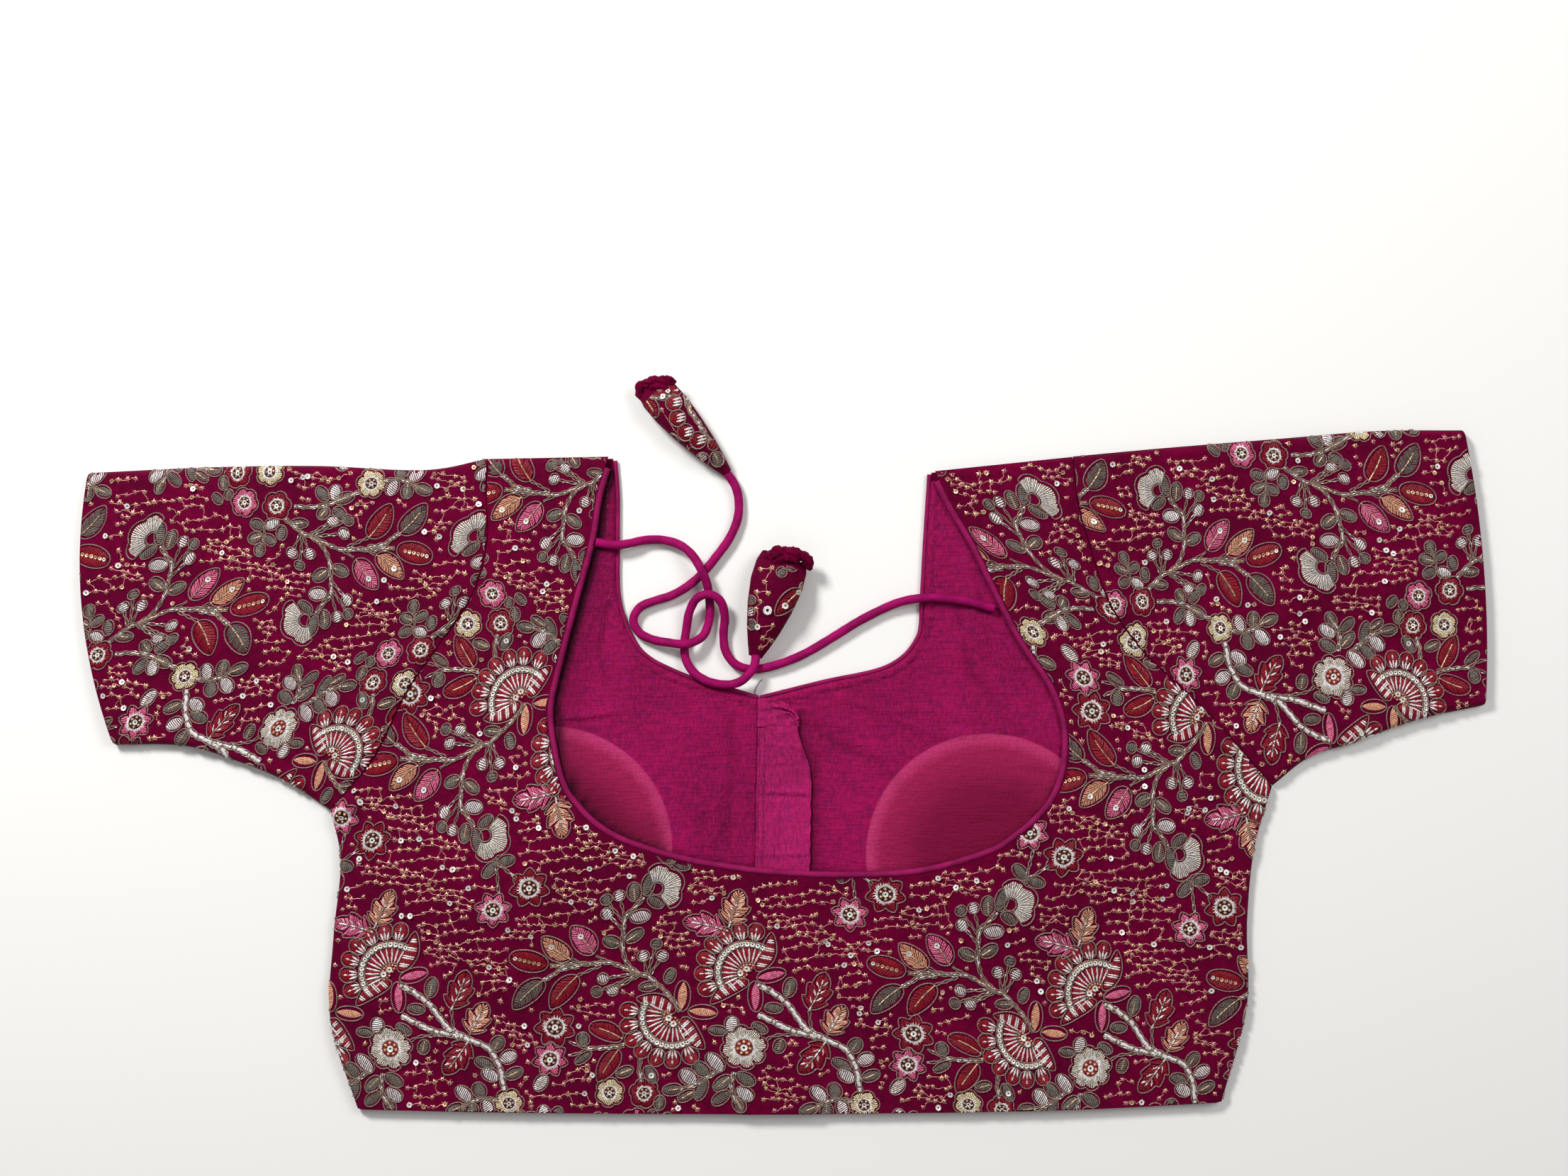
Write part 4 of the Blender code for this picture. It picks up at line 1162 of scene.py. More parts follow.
OVALS = [
    (GREY, -61, -26, -64, -19, 6.5), (GREY, -58, -29, -66.5, -35.5, 4.5),
    (SILVER, -81.5, -41, -87, -49.5, 6.5, "gold"),
    (GREY, -19, 69, -9.4, 66.9, 6), (GREY, -19, 69, -26.4, 76.9, 6),
    (GREY, -36, -38, -45, -41.5, 5.5, "gold"), (GREY, -30, -37, -24, -45.5, 6, "sequin"),
    (GREY, -21.5, -67, -16, -61.5, 5), (GREY, -24, -65, -26.5, -59.5, 5),
    (GREY, -22, -60, -22, -52, 5.5, "gold"),
    (GREY, 10, -19, 0.5, -18.5, 5), (SILVER, 12, -19, 12, -11, 7), (GREY, 30, -19, 22, -14.5, 5),
    (GREY, 37, -22, 35, -30, 6, "gold"), (GREY, 15, -41, 24.5, -46, 6.5),
    (GREY, 12.5, -42, 4.5, -49.5, 6.5, "gold"), (SILVER, 15, -49, 24, -53.5, 7),
    (GREY, 12, -50, 4, -57, 6), (GREY, 15, -53, 19, -61, 6, "gold"),
    (SILVER, 9, -39, 0, -31, 7), (GREY, 2, -42, -6.5, -35.5, 6.5),
    (SILVER, -4, -46, -12.5, -39.5, 7.5), (GREY, -11, -48.5, -21, -50, 6, "gold"),
    (GREY, 0, -43, -3.5, -55, 6), (GREY, -5, -50, -13, -55, 5, "gold"),
    (GREY, 39.5, 0, 41.5, 11, 6.5, "gold"), (GREY, 37.5, -6, 28, -6, 5.5),
    (GREY, 71.5, -28.5, 76, -20.5, 7, "gold"), (SILVER, 75.5, -34, 83, -29, 7),
    (GREY, 72, -36.5, 62, -33, 6), (SILVER, 74, -43, 65.5, -38.5, 7),
    (GREY, 77.5, -42.5, 86.5, -38, 6, "gold"), (SILVER, 60, -54, 52, -47.5, 7),
    (GREY, 66, -53, 62, -45, 7), (GREY, 56, -57, 46.5, -61, 6, "gold"),
    (SILVER, 66, -54, 70, -62, 6.5), (GREY, 60, -55.5, 60, -64, 6.5, "gold"),
    (GREY, 97, -66, 87, -62, 6, "gold"), (SILVER, 98, -65, 96, -57, 6.5),
    (GREY, 101, -66, 106, -58, 6), (GREY, 100, -69, 105, -75, 6, "gold"),
    (GREY, 97, -69, 91, -75, 6), (GREY, -45.5, -80, -38, -76.5, 6),
    (SILVER, -46, -79, -54, -77, 6), (GREY, -45, -84, -36.5, -86.5, 6, "gold"),
    (GREY, -45.5, -84, -52, -88.5, 5.5), (GREY, -44.5, -88, -42, -95, 6, "gold"),
]
# shape, thread, centre, radius and petals
FLOWERS = [
    ("star", MAROON, -77, -16, 11, 7), ("star", PINK, -79.5, -33, 9.8, 7),
    ("star", MAROON, -1.5, 82, 11, 7), ("star", PINK, -20, 94, 10, 7),
    ("round", MAROON, -30, -51, 8, 6), ("round", CREAM, -48, -50.5, 8, 6),
    ("round", PINK, -34.5, -66.5, 8, 6), ("round", MAROON, -52.5, -68.5, 8, 6),
    ("round", CREAM, 79, -56, 8, 6), ("round", MINT, 18.5, -27, 12, 8, MAROON),
]


# The branch with five leaves, berries and a side-on flower, used twice in a repeat.
FAN = [(stem, FAN_STEMS), (leaf, FAN_LEAVES), (oval, FAN_OVALS), (berry, BERRIES),
       (crescent, [CRESCENT])]
BETWEEN_FANS = [(stem, STEMS), (palmette, PALMETTES), (wing, WINGS), (sepal, SEPALS),
                (leaf, LEAVES), (oval, OVALS), (flower, FLOWERS)]


def sew(work, plan):
    for motif, rows in plan:
        for row in rows:
            motif(work, *row)


def chart(coarse):
    """One repeat: its points, quads and threads."""
    work, fan = Work(coarse), Work(coarse)
    sew(fan, FAN)
    points, quads, threads = fan.joined()
    flipped = points * (1, -1, 1) + (*FAN_FLIP, 0)
    flipped[:, 0] += FAN_LEAN * (flipped[:, 1] - FAN_ROOT_Y)
    work.take(points, quads, threads)
    work.take(flipped, quads, threads)
    sew(work, BETWEEN_FANS)
    return work.joined()


# ---- Laying the cloth's pattern on a panel ----------------------------------
# Landmarks of a repeat, in millimetres.
LANDMARKS = {
    "palmette": (-17, -11), "palmette_up": (20, 12), "side_flower": (-25, 56),
    "blunt_leaf": (-91, 20), "peach_leaf": (-77, 27), "pink_leaf": (-63.8, 31),
    "grey_leaf": (-91, 1.5), "daisy": (18.5, -27), "star_red": (-77, -16),
    "star_pink": (-79.5, -33), "junction": (60, -22), "cream": (79, -56),
    "pair_red": (-1.5, 82), "pair_pink": (-20, 94), "posy_red": (-30, -51),
    "posy_cream": (-48, -50.5), "posy_pink": (-34.5, -66.5), "posy_end": (-52.5, -68.5),
    "fan_root": (-67, -83), "fan_side_flower": (-69.5, -129), "fan_blunt": (-129, -93),
    "fan_peach": (-116, -100), "fan_pink": (-103.5, -104), "fan_grey": (-125.5, -74.5),
}
# Where landmarks lie on a panel: repeat and row of the cloth, then name, x and y on
# the table, in millimetres.
PINS = {
    "back": [
        (0, 0, ("palmette_up", -18, -101), ("side_flower", -63, -57), ("blunt_leaf", -129, -93),
         ("daisy", -20, -140), ("star_red", -115, -129), ("junction", 22, -135),
         ("cream", 41, -169), ("posy_red", -73, -164)),
        (1, 0, ("palmette", 128, -138), ("side_flower", 114, -64), ("blunt_leaf", 53, -99),
         ("daisy", 152, -151), ("star_red", 69, -133), ("palmette_up", 162, -111)),
        (-1, 0, ("palmette_up", -204, -102), ("daisy", -197, -142), ("junction", -164, -138),
         ("cream", -137, -168)),
        (2, 0, ("blunt_leaf", 229, -107), ("star_red", 234, -134)),
        (-1, 1, ("palmette", -136, 41), ("side_flower", -152, -32), ("blunt_leaf", -202, 2),
         ("peach_leaf", -193, -3), ("pink_leaf", -186, -6), ("star_red", -187, 37),
         ("pair_red", -127, -59), ("pair_pink", -148, -73), ("posy_pink", -148, 90),
         ("posy_cream", -158, 77), ("posy_red", -142, 77)),
        (0, 1, ("pair_red", 52, -64), ("pair_pink", 34, -73)),
        (1, 1, ("palmette", 211, 31), ("side_flower", 200, -44), ("blunt_leaf", 148, -4),
         ("peach_leaf", 159, -12), ("pink_leaf", 171, -16), ("star_red", 160, 29),
         ("star_pink", 153, 50), ("pair_red", 225, -70), ("pair_pink", 206, -81),
         ("fan_root", 146, 98), ("fan_side_flower", 119, 138)),
        (0, 2, ("fan_root", -100, 144), ("fan_blunt", -148, 142), ("fan_peach", -142, 135),
         ("fan_pink", -130, 130), ("fan_side_flower", -105, 104)),
    ],
    "sleeve_left": [
        (0, 0, ("palmette", -235, 8), ("daisy", -261, 24), ("junction", -291, 14),
         ("cream", -310, 49), ("posy_red", -210, 46), ("posy_end", -185, 63),
         ("fan_root", -169, 75), ("fan_side_flower", -157, 123)),
        (1, 0, ("fan_root", -338, 74), ("fan_side_flower", -319, 119), ("fan_blunt", -266, 85),
         ("fan_pink", -289, 97), ("fan_grey", -271, 71), ("posy_end", -348, 59),
         ("star_pink", -332, 24)),
        (0, -1, ("fan_root", -248, 121), ("fan_side_flower", -238, 74),
         ("fan_blunt", -187, 112), ("fan_pink", -209, 101), ("fan_grey", -190, 126),
         ("posy_pink", -277, 138), ("posy_end", -261, 137), ("posy_red", -284, 151)),
    ],
    "sleeve_right": [
        (0, 0, ("palmette", 315, 37), ("daisy", 280, 51), ("cream", 212, 70),
         ("junction", 244, 36), ("posy_red", 316, 74), ("posy_end", 339, 92),
         ("fan_root", 353, 108), ("fan_side_flower", 349, 153)),
        (1, 0, ("fan_root", 203, 108), ("fan_side_flower", 189, 142), ("fan_pink", 221, 119),
         ("fan_blunt", 247, 111), ("fan_grey", 245, 95)),
        (0, -1, ("fan_root", 265, 147), ("fan_side_flower", 276, 102), ("fan_grey", 319, 157),
         ("fan_blunt", 324, 143), ("fan_pink", 302, 131), ("posy_pink", 230, 163),
         ("posy_end", 247, 161)),
    ],
}
# The undersides are the same cloth, seen from below: three pins each.
PINS.update({
    "front_left": [(0, 0, ("palmette", -110, -60), ("daisy", -146, -76),
                    ("side_flower", -102, 7))],
    "front_right": [(0, 0, ("palmette", 130, -60), ("daisy", 94, -76),
                     ("side_flower", 138, 7))],
    "sleeve_under_left": [(0, 0, ("palmette", -290, 60), ("daisy", -255, 44),
                           ("side_flower", -298, -7))],
    "sleeve_under_right": [(0, 0, ("palmette", 270, 90), ("daisy", 305, 74),
                            ("side_flower", 262, 23))],
})
PIN_REACH = 34.0            # how far a pin's pull carries, in millimetres
PIN_GRIP = 0.08             # how firmly cloth away from the pins keeps the panel's own lie


def on_cloth(points, repeat, row):
    """Chart points on the endless cloth: every other row is mirrored and half a repeat on."""
    out = np.array(points, float)
    if row % 2:
        out[..., 0] += REPEAT * (repeat + 0.5)
        out[..., 1] = 2 * MIRROR_ABOVE + ROW * (row - 1) - out[..., 1]
    else:
        out[..., 0] += REPEAT * repeat
        out[..., 1] += ROW * row
    return out


class Lie:
    """How the cloth lies in a panel: one even fit to its pins, eased towards each pin."""

    def __init__(self, pins):
        cloth, table = [], []
        for repeat, row, *marks in pins:
            for name, x, y in marks:
                cloth.append(on_cloth(LANDMARKS[name], repeat, row))
                table.append((x, y))
        self.cloth, table = np.array(cloth), np.array(table, float)
        self.fit = np.linalg.lstsq(self.spread(self.cloth), table, rcond=None)[0]
        self.rest = table - self.spread(self.cloth) @ self.fit

    def spread(self, p):
        return np.column_stack([np.ones(len(p)), p])

    def __call__(self, p):
        away = p[:, None] - self.cloth[None]
        pull = np.exp(-(away ** 2).sum(-1) / (2 * PIN_REACH ** 2))
        share = pull / (pull.sum(1, keepdims=True) + PIN_GRIP)
        return self.spread(p) @ self.fit + share @ self.rest

    def back(self, table):
        """Roughly where on the cloth a place on the table is."""
        return (table - self.fit[0]) @ np.linalg.inv(self.fit[1:])


def inside(points, outline):
    """Which points are within a closed outline."""
    found = np.zeros(len(points), bool)
    x, y = points[:, 0], points[:, 1]
    for (x0, y0), (x1, y1) in zip(outline, np.roll(outline, -1, axis=0)):
        if y0 == y1:
            continue
        crosses = (y0 > y) != (y1 > y)
        found ^= crosses & (x < x0 + (y - y0) * (x1 - x0) / (y1 - y0))
    return found


CELL = 1.0                  # of the map of what is already embroidered, in millimetres
STAR_ROW, STAR_STEP, STAR_SIZE = 4.6, 4.4, 1.7
STAR_WANDER, ROW_WAVE, WAVE_LENGTH = 1.3, 1.8, 11.0     # how the rows of stars stray
ROSY_SHARE = 0.6            # of the stars
LINK_SHARE, LINK_REACH = 0.3, 1.4   # joined to the next row, and within how many rows
GLINTS = ((0.06, 1.45, SEQUIN), (0.06, 1.15, GOLD))     # share of stars, radius, thread
UNDER_COARSE = 2.4          # embroidery on an underside is this much coarser,
UNDER_SPREAD = 1.4          # its stars are this much further apart,
UNDER_STAND = -0.45         # and it stands down this much of its height


def ground_stars(work, taken, outline, spread=1.0):
    """Rows of little stars joined by thin threads, wherever the cloth is still bare."""
    star_row, star_step = STAR_ROW * spread, STAR_STEP * spread
    low, high = outline.min(0) - 3, outline.max(0) + 3
    size = np.ceil((high - low) / CELL).astype(int) + 1
    marked = np.zeros(size, bool)
    cells = ((taken - low) / CELL).astype(int)
    marked[tuple(cells[(cells >= 0).all(1) & (cells < size).all(1)].T)] = True
    near = marked.copy()
    for dx in range(-2, 3):
        for dy in range(-2, 3):
            if dx * dx + dy * dy < 3:
                near |= np.roll(marked, (dx, dy), (0, 1))
    rows = []
    for r, y in enumerate(np.arange(low[1], high[1], star_row)):
        x = np.arange(low[0] + (r % 2) * star_step / 2, high[0], star_step)
        row = np.column_stack([x, np.full(len(x), y)])
        row = row + HAND.uniform(-STAR_WANDER, STAR_WANDER, (len(x), 2))
        row[:, 1] += ROW_WAVE * np.sin(x / WAVE_LENGTH + r)
        cell = np.clip(((row - low) / CELL).astype(int), 0, size - 1)
        free = ~near[tuple(cell.T)]
        for shift in ((2, 0), (-2, 0), (0, 2), (0, -2)):
            free &= inside(row + shift, outline)
        rows.append((row, free))
    centres = np.vstack([row[free] for row, free in rows])
    if not len(centres):
        return
    rosy = HAND.random(len(centres)) < ROSY_SHARE
    work.stars(centres[~rosy], STAR_SIZE)
    work.stars(centres[rosy], STAR_SIZE, ROSE)
    starts, ends = [], []
    for row, free in rows:
        pairs = np.flatnonzero(free[:-1] & free[1:])
        starts.append(row[pairs])
        ends.append(row[pairs + 1])
    for (row, free), (above, above_free) in zip(rows, rows[1:]):
        for place in row[free]:
            gaps = np.linalg.norm(above - place, axis=1) + 99 * ~above_free
            if gaps.min() < star_row * LINK_REACH and HAND.random() < LINK_SHARE:
                starts.append(place[None])
                ends.append(above[gaps.argmin()][None])
    work.threads_between(np.vstack(starts), np.vstack(ends))
    for share, radius, thread in GLINTS:
        lucky = centres[HAND.random(len(centres)) < share]
        if len(lucky):
            work.sequins(lucky, radius, thread, lift=0.95, tilt=0.45)


PATTERN_SPARE = 30.0        # of cloth about a panel, in millimetres
LIFT_LIMIT = 2.5            # steepest slope that embroidery follows
SLOPE_STEP = 0.0003


def on_surface(points, height, share):
    """Embroidery points in millimetres, laid on a height in metres and stood off it."""
    plan, away = points[:, :2] * MM, points[:, 2] * MM * share
    z = height(plan)
    slope = np.stack([height(plan + shift) - z for shift in
                      ((SLOPE_STEP, 0), (0, SLOPE_STEP))], 1) / SLOPE_STEP
    slope = np.clip(slope, -LIFT_LIMIT, LIFT_LIMIT)
    normal = np.column_stack([-slope, np.ones(len(slope))])
    normal /= np.linalg.norm(normal, axis=1, keepdims=True)
    return np.column_stack([plan, z]) + normal * away[:, None]


THREAD_KINDS = {
    "satin": (MAROON, PINK, PEACH, CREAM, MINT, GREY, DARK),
    "cord": (OLIVE,),
    "metal": (SILVER, GOLD, ROSE, SEQUIN),
}


def laid(name, work, height, finishes, slot="outer_cloth", kinds=THREAD_KINDS, under=False):
    """Embroidery laid on a height, as one piece for each kind of thread."""
    points, quads, threads = work.joined()
    pieces = []
    for kind, names in kinds.items():
        index = [TONES.index(thread) for thread in names]
        chosen = np.isin(threads, index)
        used, local = np.unique(quads[chosen], return_inverse=True)
        local = local.reshape(-1, 4)
        flat = points[used]
        a, b, c, d = (flat[local[:, k], :2] for k in range(4))
        turned = (np.cross(c - a, d - b) < 0) != under
        local[turned] = local[turned][:, ::-1]
        solid = on_surface(flat, height, UNDER_STAND if under else 1.0)
        slots = [index.index(t) for t in threads[chosen]]
        pieces.append(piece(f"{name}_{kind}_work", solid, local,
                            [finishes[thread] for thread in names], slot, finish_of=slots))
    return pieces


def embroider(panel, outline, height, finishes, under=False):
    """Lays the cloth's pattern on a panel, cut at its outline."""
    lie, edge_line = Lie(PINS[panel]), outline / MM
    points, quads, threads = UNDER_CHART if under else CHART
    corners = lie.back(edge_line)
    low, high = corners.min(0) - PATTERN_SPARE, corners.max(0) + PATTERN_SPARE
    rows = range(math.floor((low[1] - ROW) / ROW), math.ceil((high[1] + ROW) / ROW) + 1)
    repeats = range(math.floor(low[0] / REPEAT) - 1, math.ceil(high[0] / REPEAT) + 2)
    work = Work()
    for row, repeat in itertools.product(rows, repeats):
        cloth = on_cloth(points[:, :2], repeat, row)
        if (cloth.max(0) < low).any() or (cloth.min(0) > high).any():
            continue
        table = lie(cloth)
        whole = inside(table, edge_line)[quads].all(1)
        work.take(np.column_stack([table, points[:, 2]]), quads[whole], threads[whole])
    used = np.unique(np.vstack(work.quads))
    ground_stars(work, np.vstack(work.points)[used, :2], edge_line,
                 UNDER_SPREAD if under else 1.0)
    return laid(panel, work, height, finishes, under=under)


# ---- Panels -----------------------------------------------------------------
# Creases: half width, height (a trough below 0) and the line, in millimetres.
BACK_CREASES = [
    (7, -0.7, (-223, -30), (-205, -56), (-196, -80)),
    (6, 0.6, (-216, -18), (-192, -33), (-170, -38)),
    (8, -0.6, (242, -14), (218, -42), (210, -76)),
    (6, 0.7, (230, 6), (203, -18), (178, -26)),
    (10, 0.5, (-100, -50), (-70, -90), (-72, -130)),
    (10, 0.5, (25, -60), (35, -95), (22, -140)),
    (9, -0.5, (125, -45), (115, -85), (125, -120)),
    (7, 0.4, (80, -172), (70, -145), (72, -128)),
    (7, 0.4, (-125, -172), (-118, -150), (-122, -132)),
    (6, -0.5, (113, 144), (126, 109), (132, 85)),
    (6, 0.5, (-125, 135), (-121, 106), (-128, 78)),
    (7, 0.5, (150, 50), (170, 20), (180, -10)),
    (7, -0.5, (-145, 35), (-160, 10), (-180, -8)),
]
LINING_CREASES = [
    (4.2, -1, (-28.5, -8), (-28, -42)),
    (2.2, -1, (11.5, 25.5), (20, 19), (28.5, 14.5)),
    (2.4, 0.8, (13, 30), (24, 24), (38, 21.5)),
    (4, -0.9, (-43.4, -8), (-42.5, -38)),
    (3.5, 0.9, (-34.5, 2), (-35, -40)),
    (4.5, -0.9, (-27, 27), (-25.5, 2)),
    (1.8, 0.8, (-74, 17), (-53, 16.8)),
    (2.4, 1.6, (136.1, 10.8), (107.1, -15.3), (95.5, -22.6)),
    (2, -1, (133, 6), (104, -18)),
    (2.2, 1.3, (101.6, -18.9), (100.5, -40.7)),
    (2.5, 1.3, (-116.2, 27.5), (-85.3, 30.1)),
    (3, 1, (30, 38), (52, 30), (70, 33)),
    (2.8, 1.2, (52, 29), (80, 18), (110, 21)),
    (3, -0.9, (20, 16), (48, 5), (62, -10)),
    (2.6, 1, (18, -5), (33, -19), (34, -38)),
    (3.5, -0.9, (88, 88), (96, 50), (115, 30)),
    (2.8, 1, (93, 115), (98, 85), (90, 64)),
    (3, 1, (-40, 35), (-38, 8), (-45, -25)),
    (2.6, -0.9, (-27, 30), (-25, 0), (-30, -35)),
    (2.8, 0.9, (-60, 33), (-72, 12), (-70, -10)),
    (3, -0.9, (-88, 90), (-94, 62), (-90, 42)),
    (2.4, 0.9, (-96, 80), (-106, 60), (-108, 40)),
]
PLACKET_CREASES = [
    (2, 0.7, (-12, -9.8), (15, -10.8)),
    (2.2, -0.5, (-12, -12.5), (14, -13.2)),
    (1.8, 0.6, (-12, -42.5), (15, -41.5)),
    (1.6, -0.5, (-11, 2), (10, 3.5)),
    (1.6, 0.5, (-8, 14.5), (12, 12)),
]
SLEEVE_CREASES = {
    "left": [
        (9, 0.6, (-330, 120), (-290, 108), (-250, 112)),
        (8, -0.6, (-340, 50), (-295, 42), (-260, 50)),
        (10, 0.5, (-290, 28), (-250, 18), (-225, 12)),
        (7, -0.5, (-205, 130), (-215, 100), (-205, 70)),
    ],
    "right": [
        (9, 0.6, (335, 135), (295, 130), (255, 120)),
        (8, -0.6, (345, 70), (300, 62), (260, 60)),
        (10, 0.5, (300, 40), (270, 30), (248, 15)),
        (7, -0.5, (200, 150), (205, 115), (195, 85)),
    ],
}
UNDER_Z = 0.0006            # the cloth's underside, so its embroidery has room on the table
SEAM_DIP, SEAM_DIP_REACH = 0.0008, 0.0035   # the cloth dips where a sleeve is sewn in
NECK_CLEAR, FRONT_CLEAR = PIPING_RADIUS - HAIR, EDGING_RADIUS - HAIR


def in_steps(length, fine):
    """Shares of a length, close together by both ends."""
    near = np.array([0.0, 0.0003, 0.0008, 0.0016, 0.0025])
    middle = np.linspace(ROLL, length - ROLL, max(3, int((length - 2 * ROLL) / fine)))
    return np.concatenate([near, middle, length - near[::-1]]) / length


def seam_dip(p, lines):
    return -SEAM_DIP * bell(nearest(p, lines), SEAM_DIP_REACH)


def back_low(p):
    share = rolled(nearest(p, SEAMS))
    rise = inside_top(p) + AIR - SEAM_Z + fold_lift(p) + creased(p, BACK_CREASES)
    return SEAM_Z + rise * share + seam_dip(p, ARMHOLES.values()) * share


def back_grid(fine, step):
    """Plan places over the back: a row for each section, from the neck to its outer end."""
    neck, outer = back_outline(fine)
    inner = neck + right_of(neck) * NECK_CLEAR
    run = outer - inner
    length = np.linalg.norm(run, axis=1, keepdims=True)
    near_seam = np.array([0.009, ROLL, 0.0022, 0.0012, 0.0005, 0.0])
    usual_length = 0.13
    rows = []
    for start, across, size in zip(inner, run, length):
        shares = 1 - near_seam / size[0]
        shares = np.append(np.linspace(0, shares[0], int(usual_length / step)), shares[1:])
        rows.append(start + across * shares[:, None])
    return np.array(rows)


def front_grid(side, fine, shares, start=0.0, stop=LAST, short=0.0):
    """Plan places over a front: a row for each section, ending short of its outer end."""
    at = np.linspace(start, stop, int((stop - start) * fine) + 1)
    inner, outer = front_inner(side, at), edge(side, at)
    inner = inner - OUTWARD[side] * right_of(inner) * FRONT_CLEAR * (at < V_POINT)[:, None]
    run = outer - inner
    run = run * (1 - short / np.linalg.norm(run, axis=1, keepdims=True))
    return inner[:, None] + run[:, None] * shares[:, None]


LINING_START, LINING_END = 0.28, 10.83
FACING, FACING_RISE = 0.0050, 0.0004    # the turned band along the front neck
FACING_END = 0.0008         # how soon it drops at its stitched edge
PUCKER, PUCKER_REACH = 0.0003, 0.0035
STITCHED, STITCHED_REACH = 0.0003, 0.0011       # the groove beyond it
EDGING_OVER, EDGING_EASE = 0.0002, 0.0016       # how the lining comes out from its edging
CRINKLE = 0.0002
LINING_EASE, LINING_FLAT = 0.0006, -0.00035     # how far it lies loose, and pressed flat
PLACKET_NARROW = 0.0076     # how much narrower the placket is at its top
PLACKET_END = 0.012         # the end folded over above it
PLACKET_SEEN = -0.056       # the back covers it below here
PLACKET_STITCHED = (0.0004, 0.0031)     # lines of stitching from its folded edge
NECK_LINE = back_outline(6)[0]
V_PLACE = front_inner("right", np.array([V_POINT]))[0]
FRONT_NECKS = {side: front_inner(side, np.linspace(0, V_POINT, 90)) for side in SIDES}
SHADE_SHIFT = np.array([0.0022, -0.0015])       # of the shade below the back neck
# how far each shade reaches, and how dark each is
NECK_REACH, PLACKET_REACH, LEFT_REACH = 0.0046, 0.0075, 0.022
NECK_DARK, PLACKET_DARK, HOLLOW_DARK, LEFT_DARK, DARKEST = 0.88, 0.55, 0.30, 0.34, 0.9
LEFT_FROM = -0.06           # where the shade of the neck's left begins


def lining_grid(side, fine, columns):
    """Plan places over a lining, closer together in the neck."""
    return front_grid(side, fine, np.linspace(0, 1, columns) ** 1.35, LINING_START,
                      LINING_END, LINING_FROM_SEAM)


def ripple(p, wavelengths, seed):
    """An uneven ripple of about -1 to 1 from waves that run every way."""
    random = np.random.default_rng(seed)
    total = np.zeros(len(p))
    for wavelength in wavelengths:
        a, phase = random.uniform(0, math.pi), random.uniform(0, math.tau)
        total += np.sin(p @ (math.cos(a), math.sin(a)) * math.tau / wavelength + phase)
    return total / math.sqrt(len(wavelengths))


def placket_width(y):
    top = ease((y + 0.005) / (PLACKET_TOP + 0.005))
    return PLACKET_WIDTH - PLACKET_NARROW * top


def placket_covers(p):
    past = past_opening(p)
    return ((past > -0.0012) & (past < placket_width(p[:, 1]) - 0.001)
            & (p[:, 1] < PLACKET_TOP + PLACKET_END))


def lining_room(p):
    """How far the lining may rise: freely in the neck opening, hardly at all under cloth."""
    shown = inside(p, NECK_LINE) * ease((distance(p, NECK_LINE) - 0.001) / 0.005)
    return 0.0003 + 0.0035 * np.where(placket_covers(p), 0, shown)


def lining_top(side, p):
    """The shown face of the lining: crinkled, creased, and turned in along the neck."""
    away = distance(p, FRONT_NECKS[side])
    clear = ease((away - EDGING_RADIUS + EDGING_OVER) / EDGING_EASE)
    facing = FACING_RISE * ease((FACING - away) / FACING_END)
    pucker = (PUCKER * ripple(p, (0.0036, 0.0042, 0.0049, 0.0057), 5)
              * bell(away - FACING, PUCKER_REACH))
    groove = -STITCHED * bell(away - FACING - STITCHED, STITCHED_REACH)
    crinkle = CRINKLE * ripple(p, np.geomspace(0.007, 0.030, 14), 7)
    lift = LINING_EASE + facing + pucker + groove + crinkle + creased(p, LINING_CREASES)
    lift = LINING_FLAT + (lift - LINING_FLAT) * clear
    return lining_low(p) + LINING - SKIN + np.clip(lift, LINING_FLAT, lining_room(p))


def lining_shade(p):
    """Painted shade on the lining: where the back neck and the placket keep light off it, in the
    hollows of its creases, and along the left of the neck.
    """
    # painted shadow of the raised back neck, cast down and to the right
    neck = bell(distance(p - SHADE_SHIFT, NECK_LINE), NECK_REACH)
    # painted shadow to the right of the placket's raw edge
    past = past_opening(p) - placket_width(p[:, 1])
    placket = ease(1 - past / PLACKET_REACH) * (past > -0.001)
    placket = placket * (p[:, 1] < PLACKET_TOP + 0.008)
    # painted shade in the hollows of the creases
    crease_hollow_shade = np.clip(-creased(p, LINING_CREASES) / 0.001, 0, 1)
    # painted shade along the left of the neck, under the back's shoulder
    left = bell(distance(p, NECK_LINE), LEFT_REACH) * (p[:, 0] < LEFT_FROM)
    return np.clip(NECK_DARK * neck + PLACKET_DARK * placket + HOLLOW_DARK * crease_hollow_shade
                   + LEFT_DARK * left, 0, DARKEST)


def sleeve_section(side, share, steps):
    """Plan points down a section of a sleeve, from its top fold to its lower fold."""
    rows = np.array(SLEEVES[side])
    at = np.interp(share, rows[:, 0], range(len(rows)))
    values = smooth(rows[:, 1:], at)[0]
    head = even(ARMHOLES[side], 200)
    head = head[np.round(np.asarray(steps) * 199).astype(int)]
    chord = head[-1] - head[0]
    along = ((head - head[0]) @ chord / (chord @ chord))[:, None]
    bend = head - head[0] - chord * along
    out = OUTWARD[side]
    bow = np.array([out * CUFF_BOW[side], 0]) * 4 * along * (1 - along)
    line = values[0:2] + (values[2:4] - values[0:2]) * along
    shift = np.array([out * SLEEVE_SHIFT[0], SLEEVE_SHIFT[1]])
    return line + bend * share ** 1.5 + bow * (1 - share) ** 2 + shift


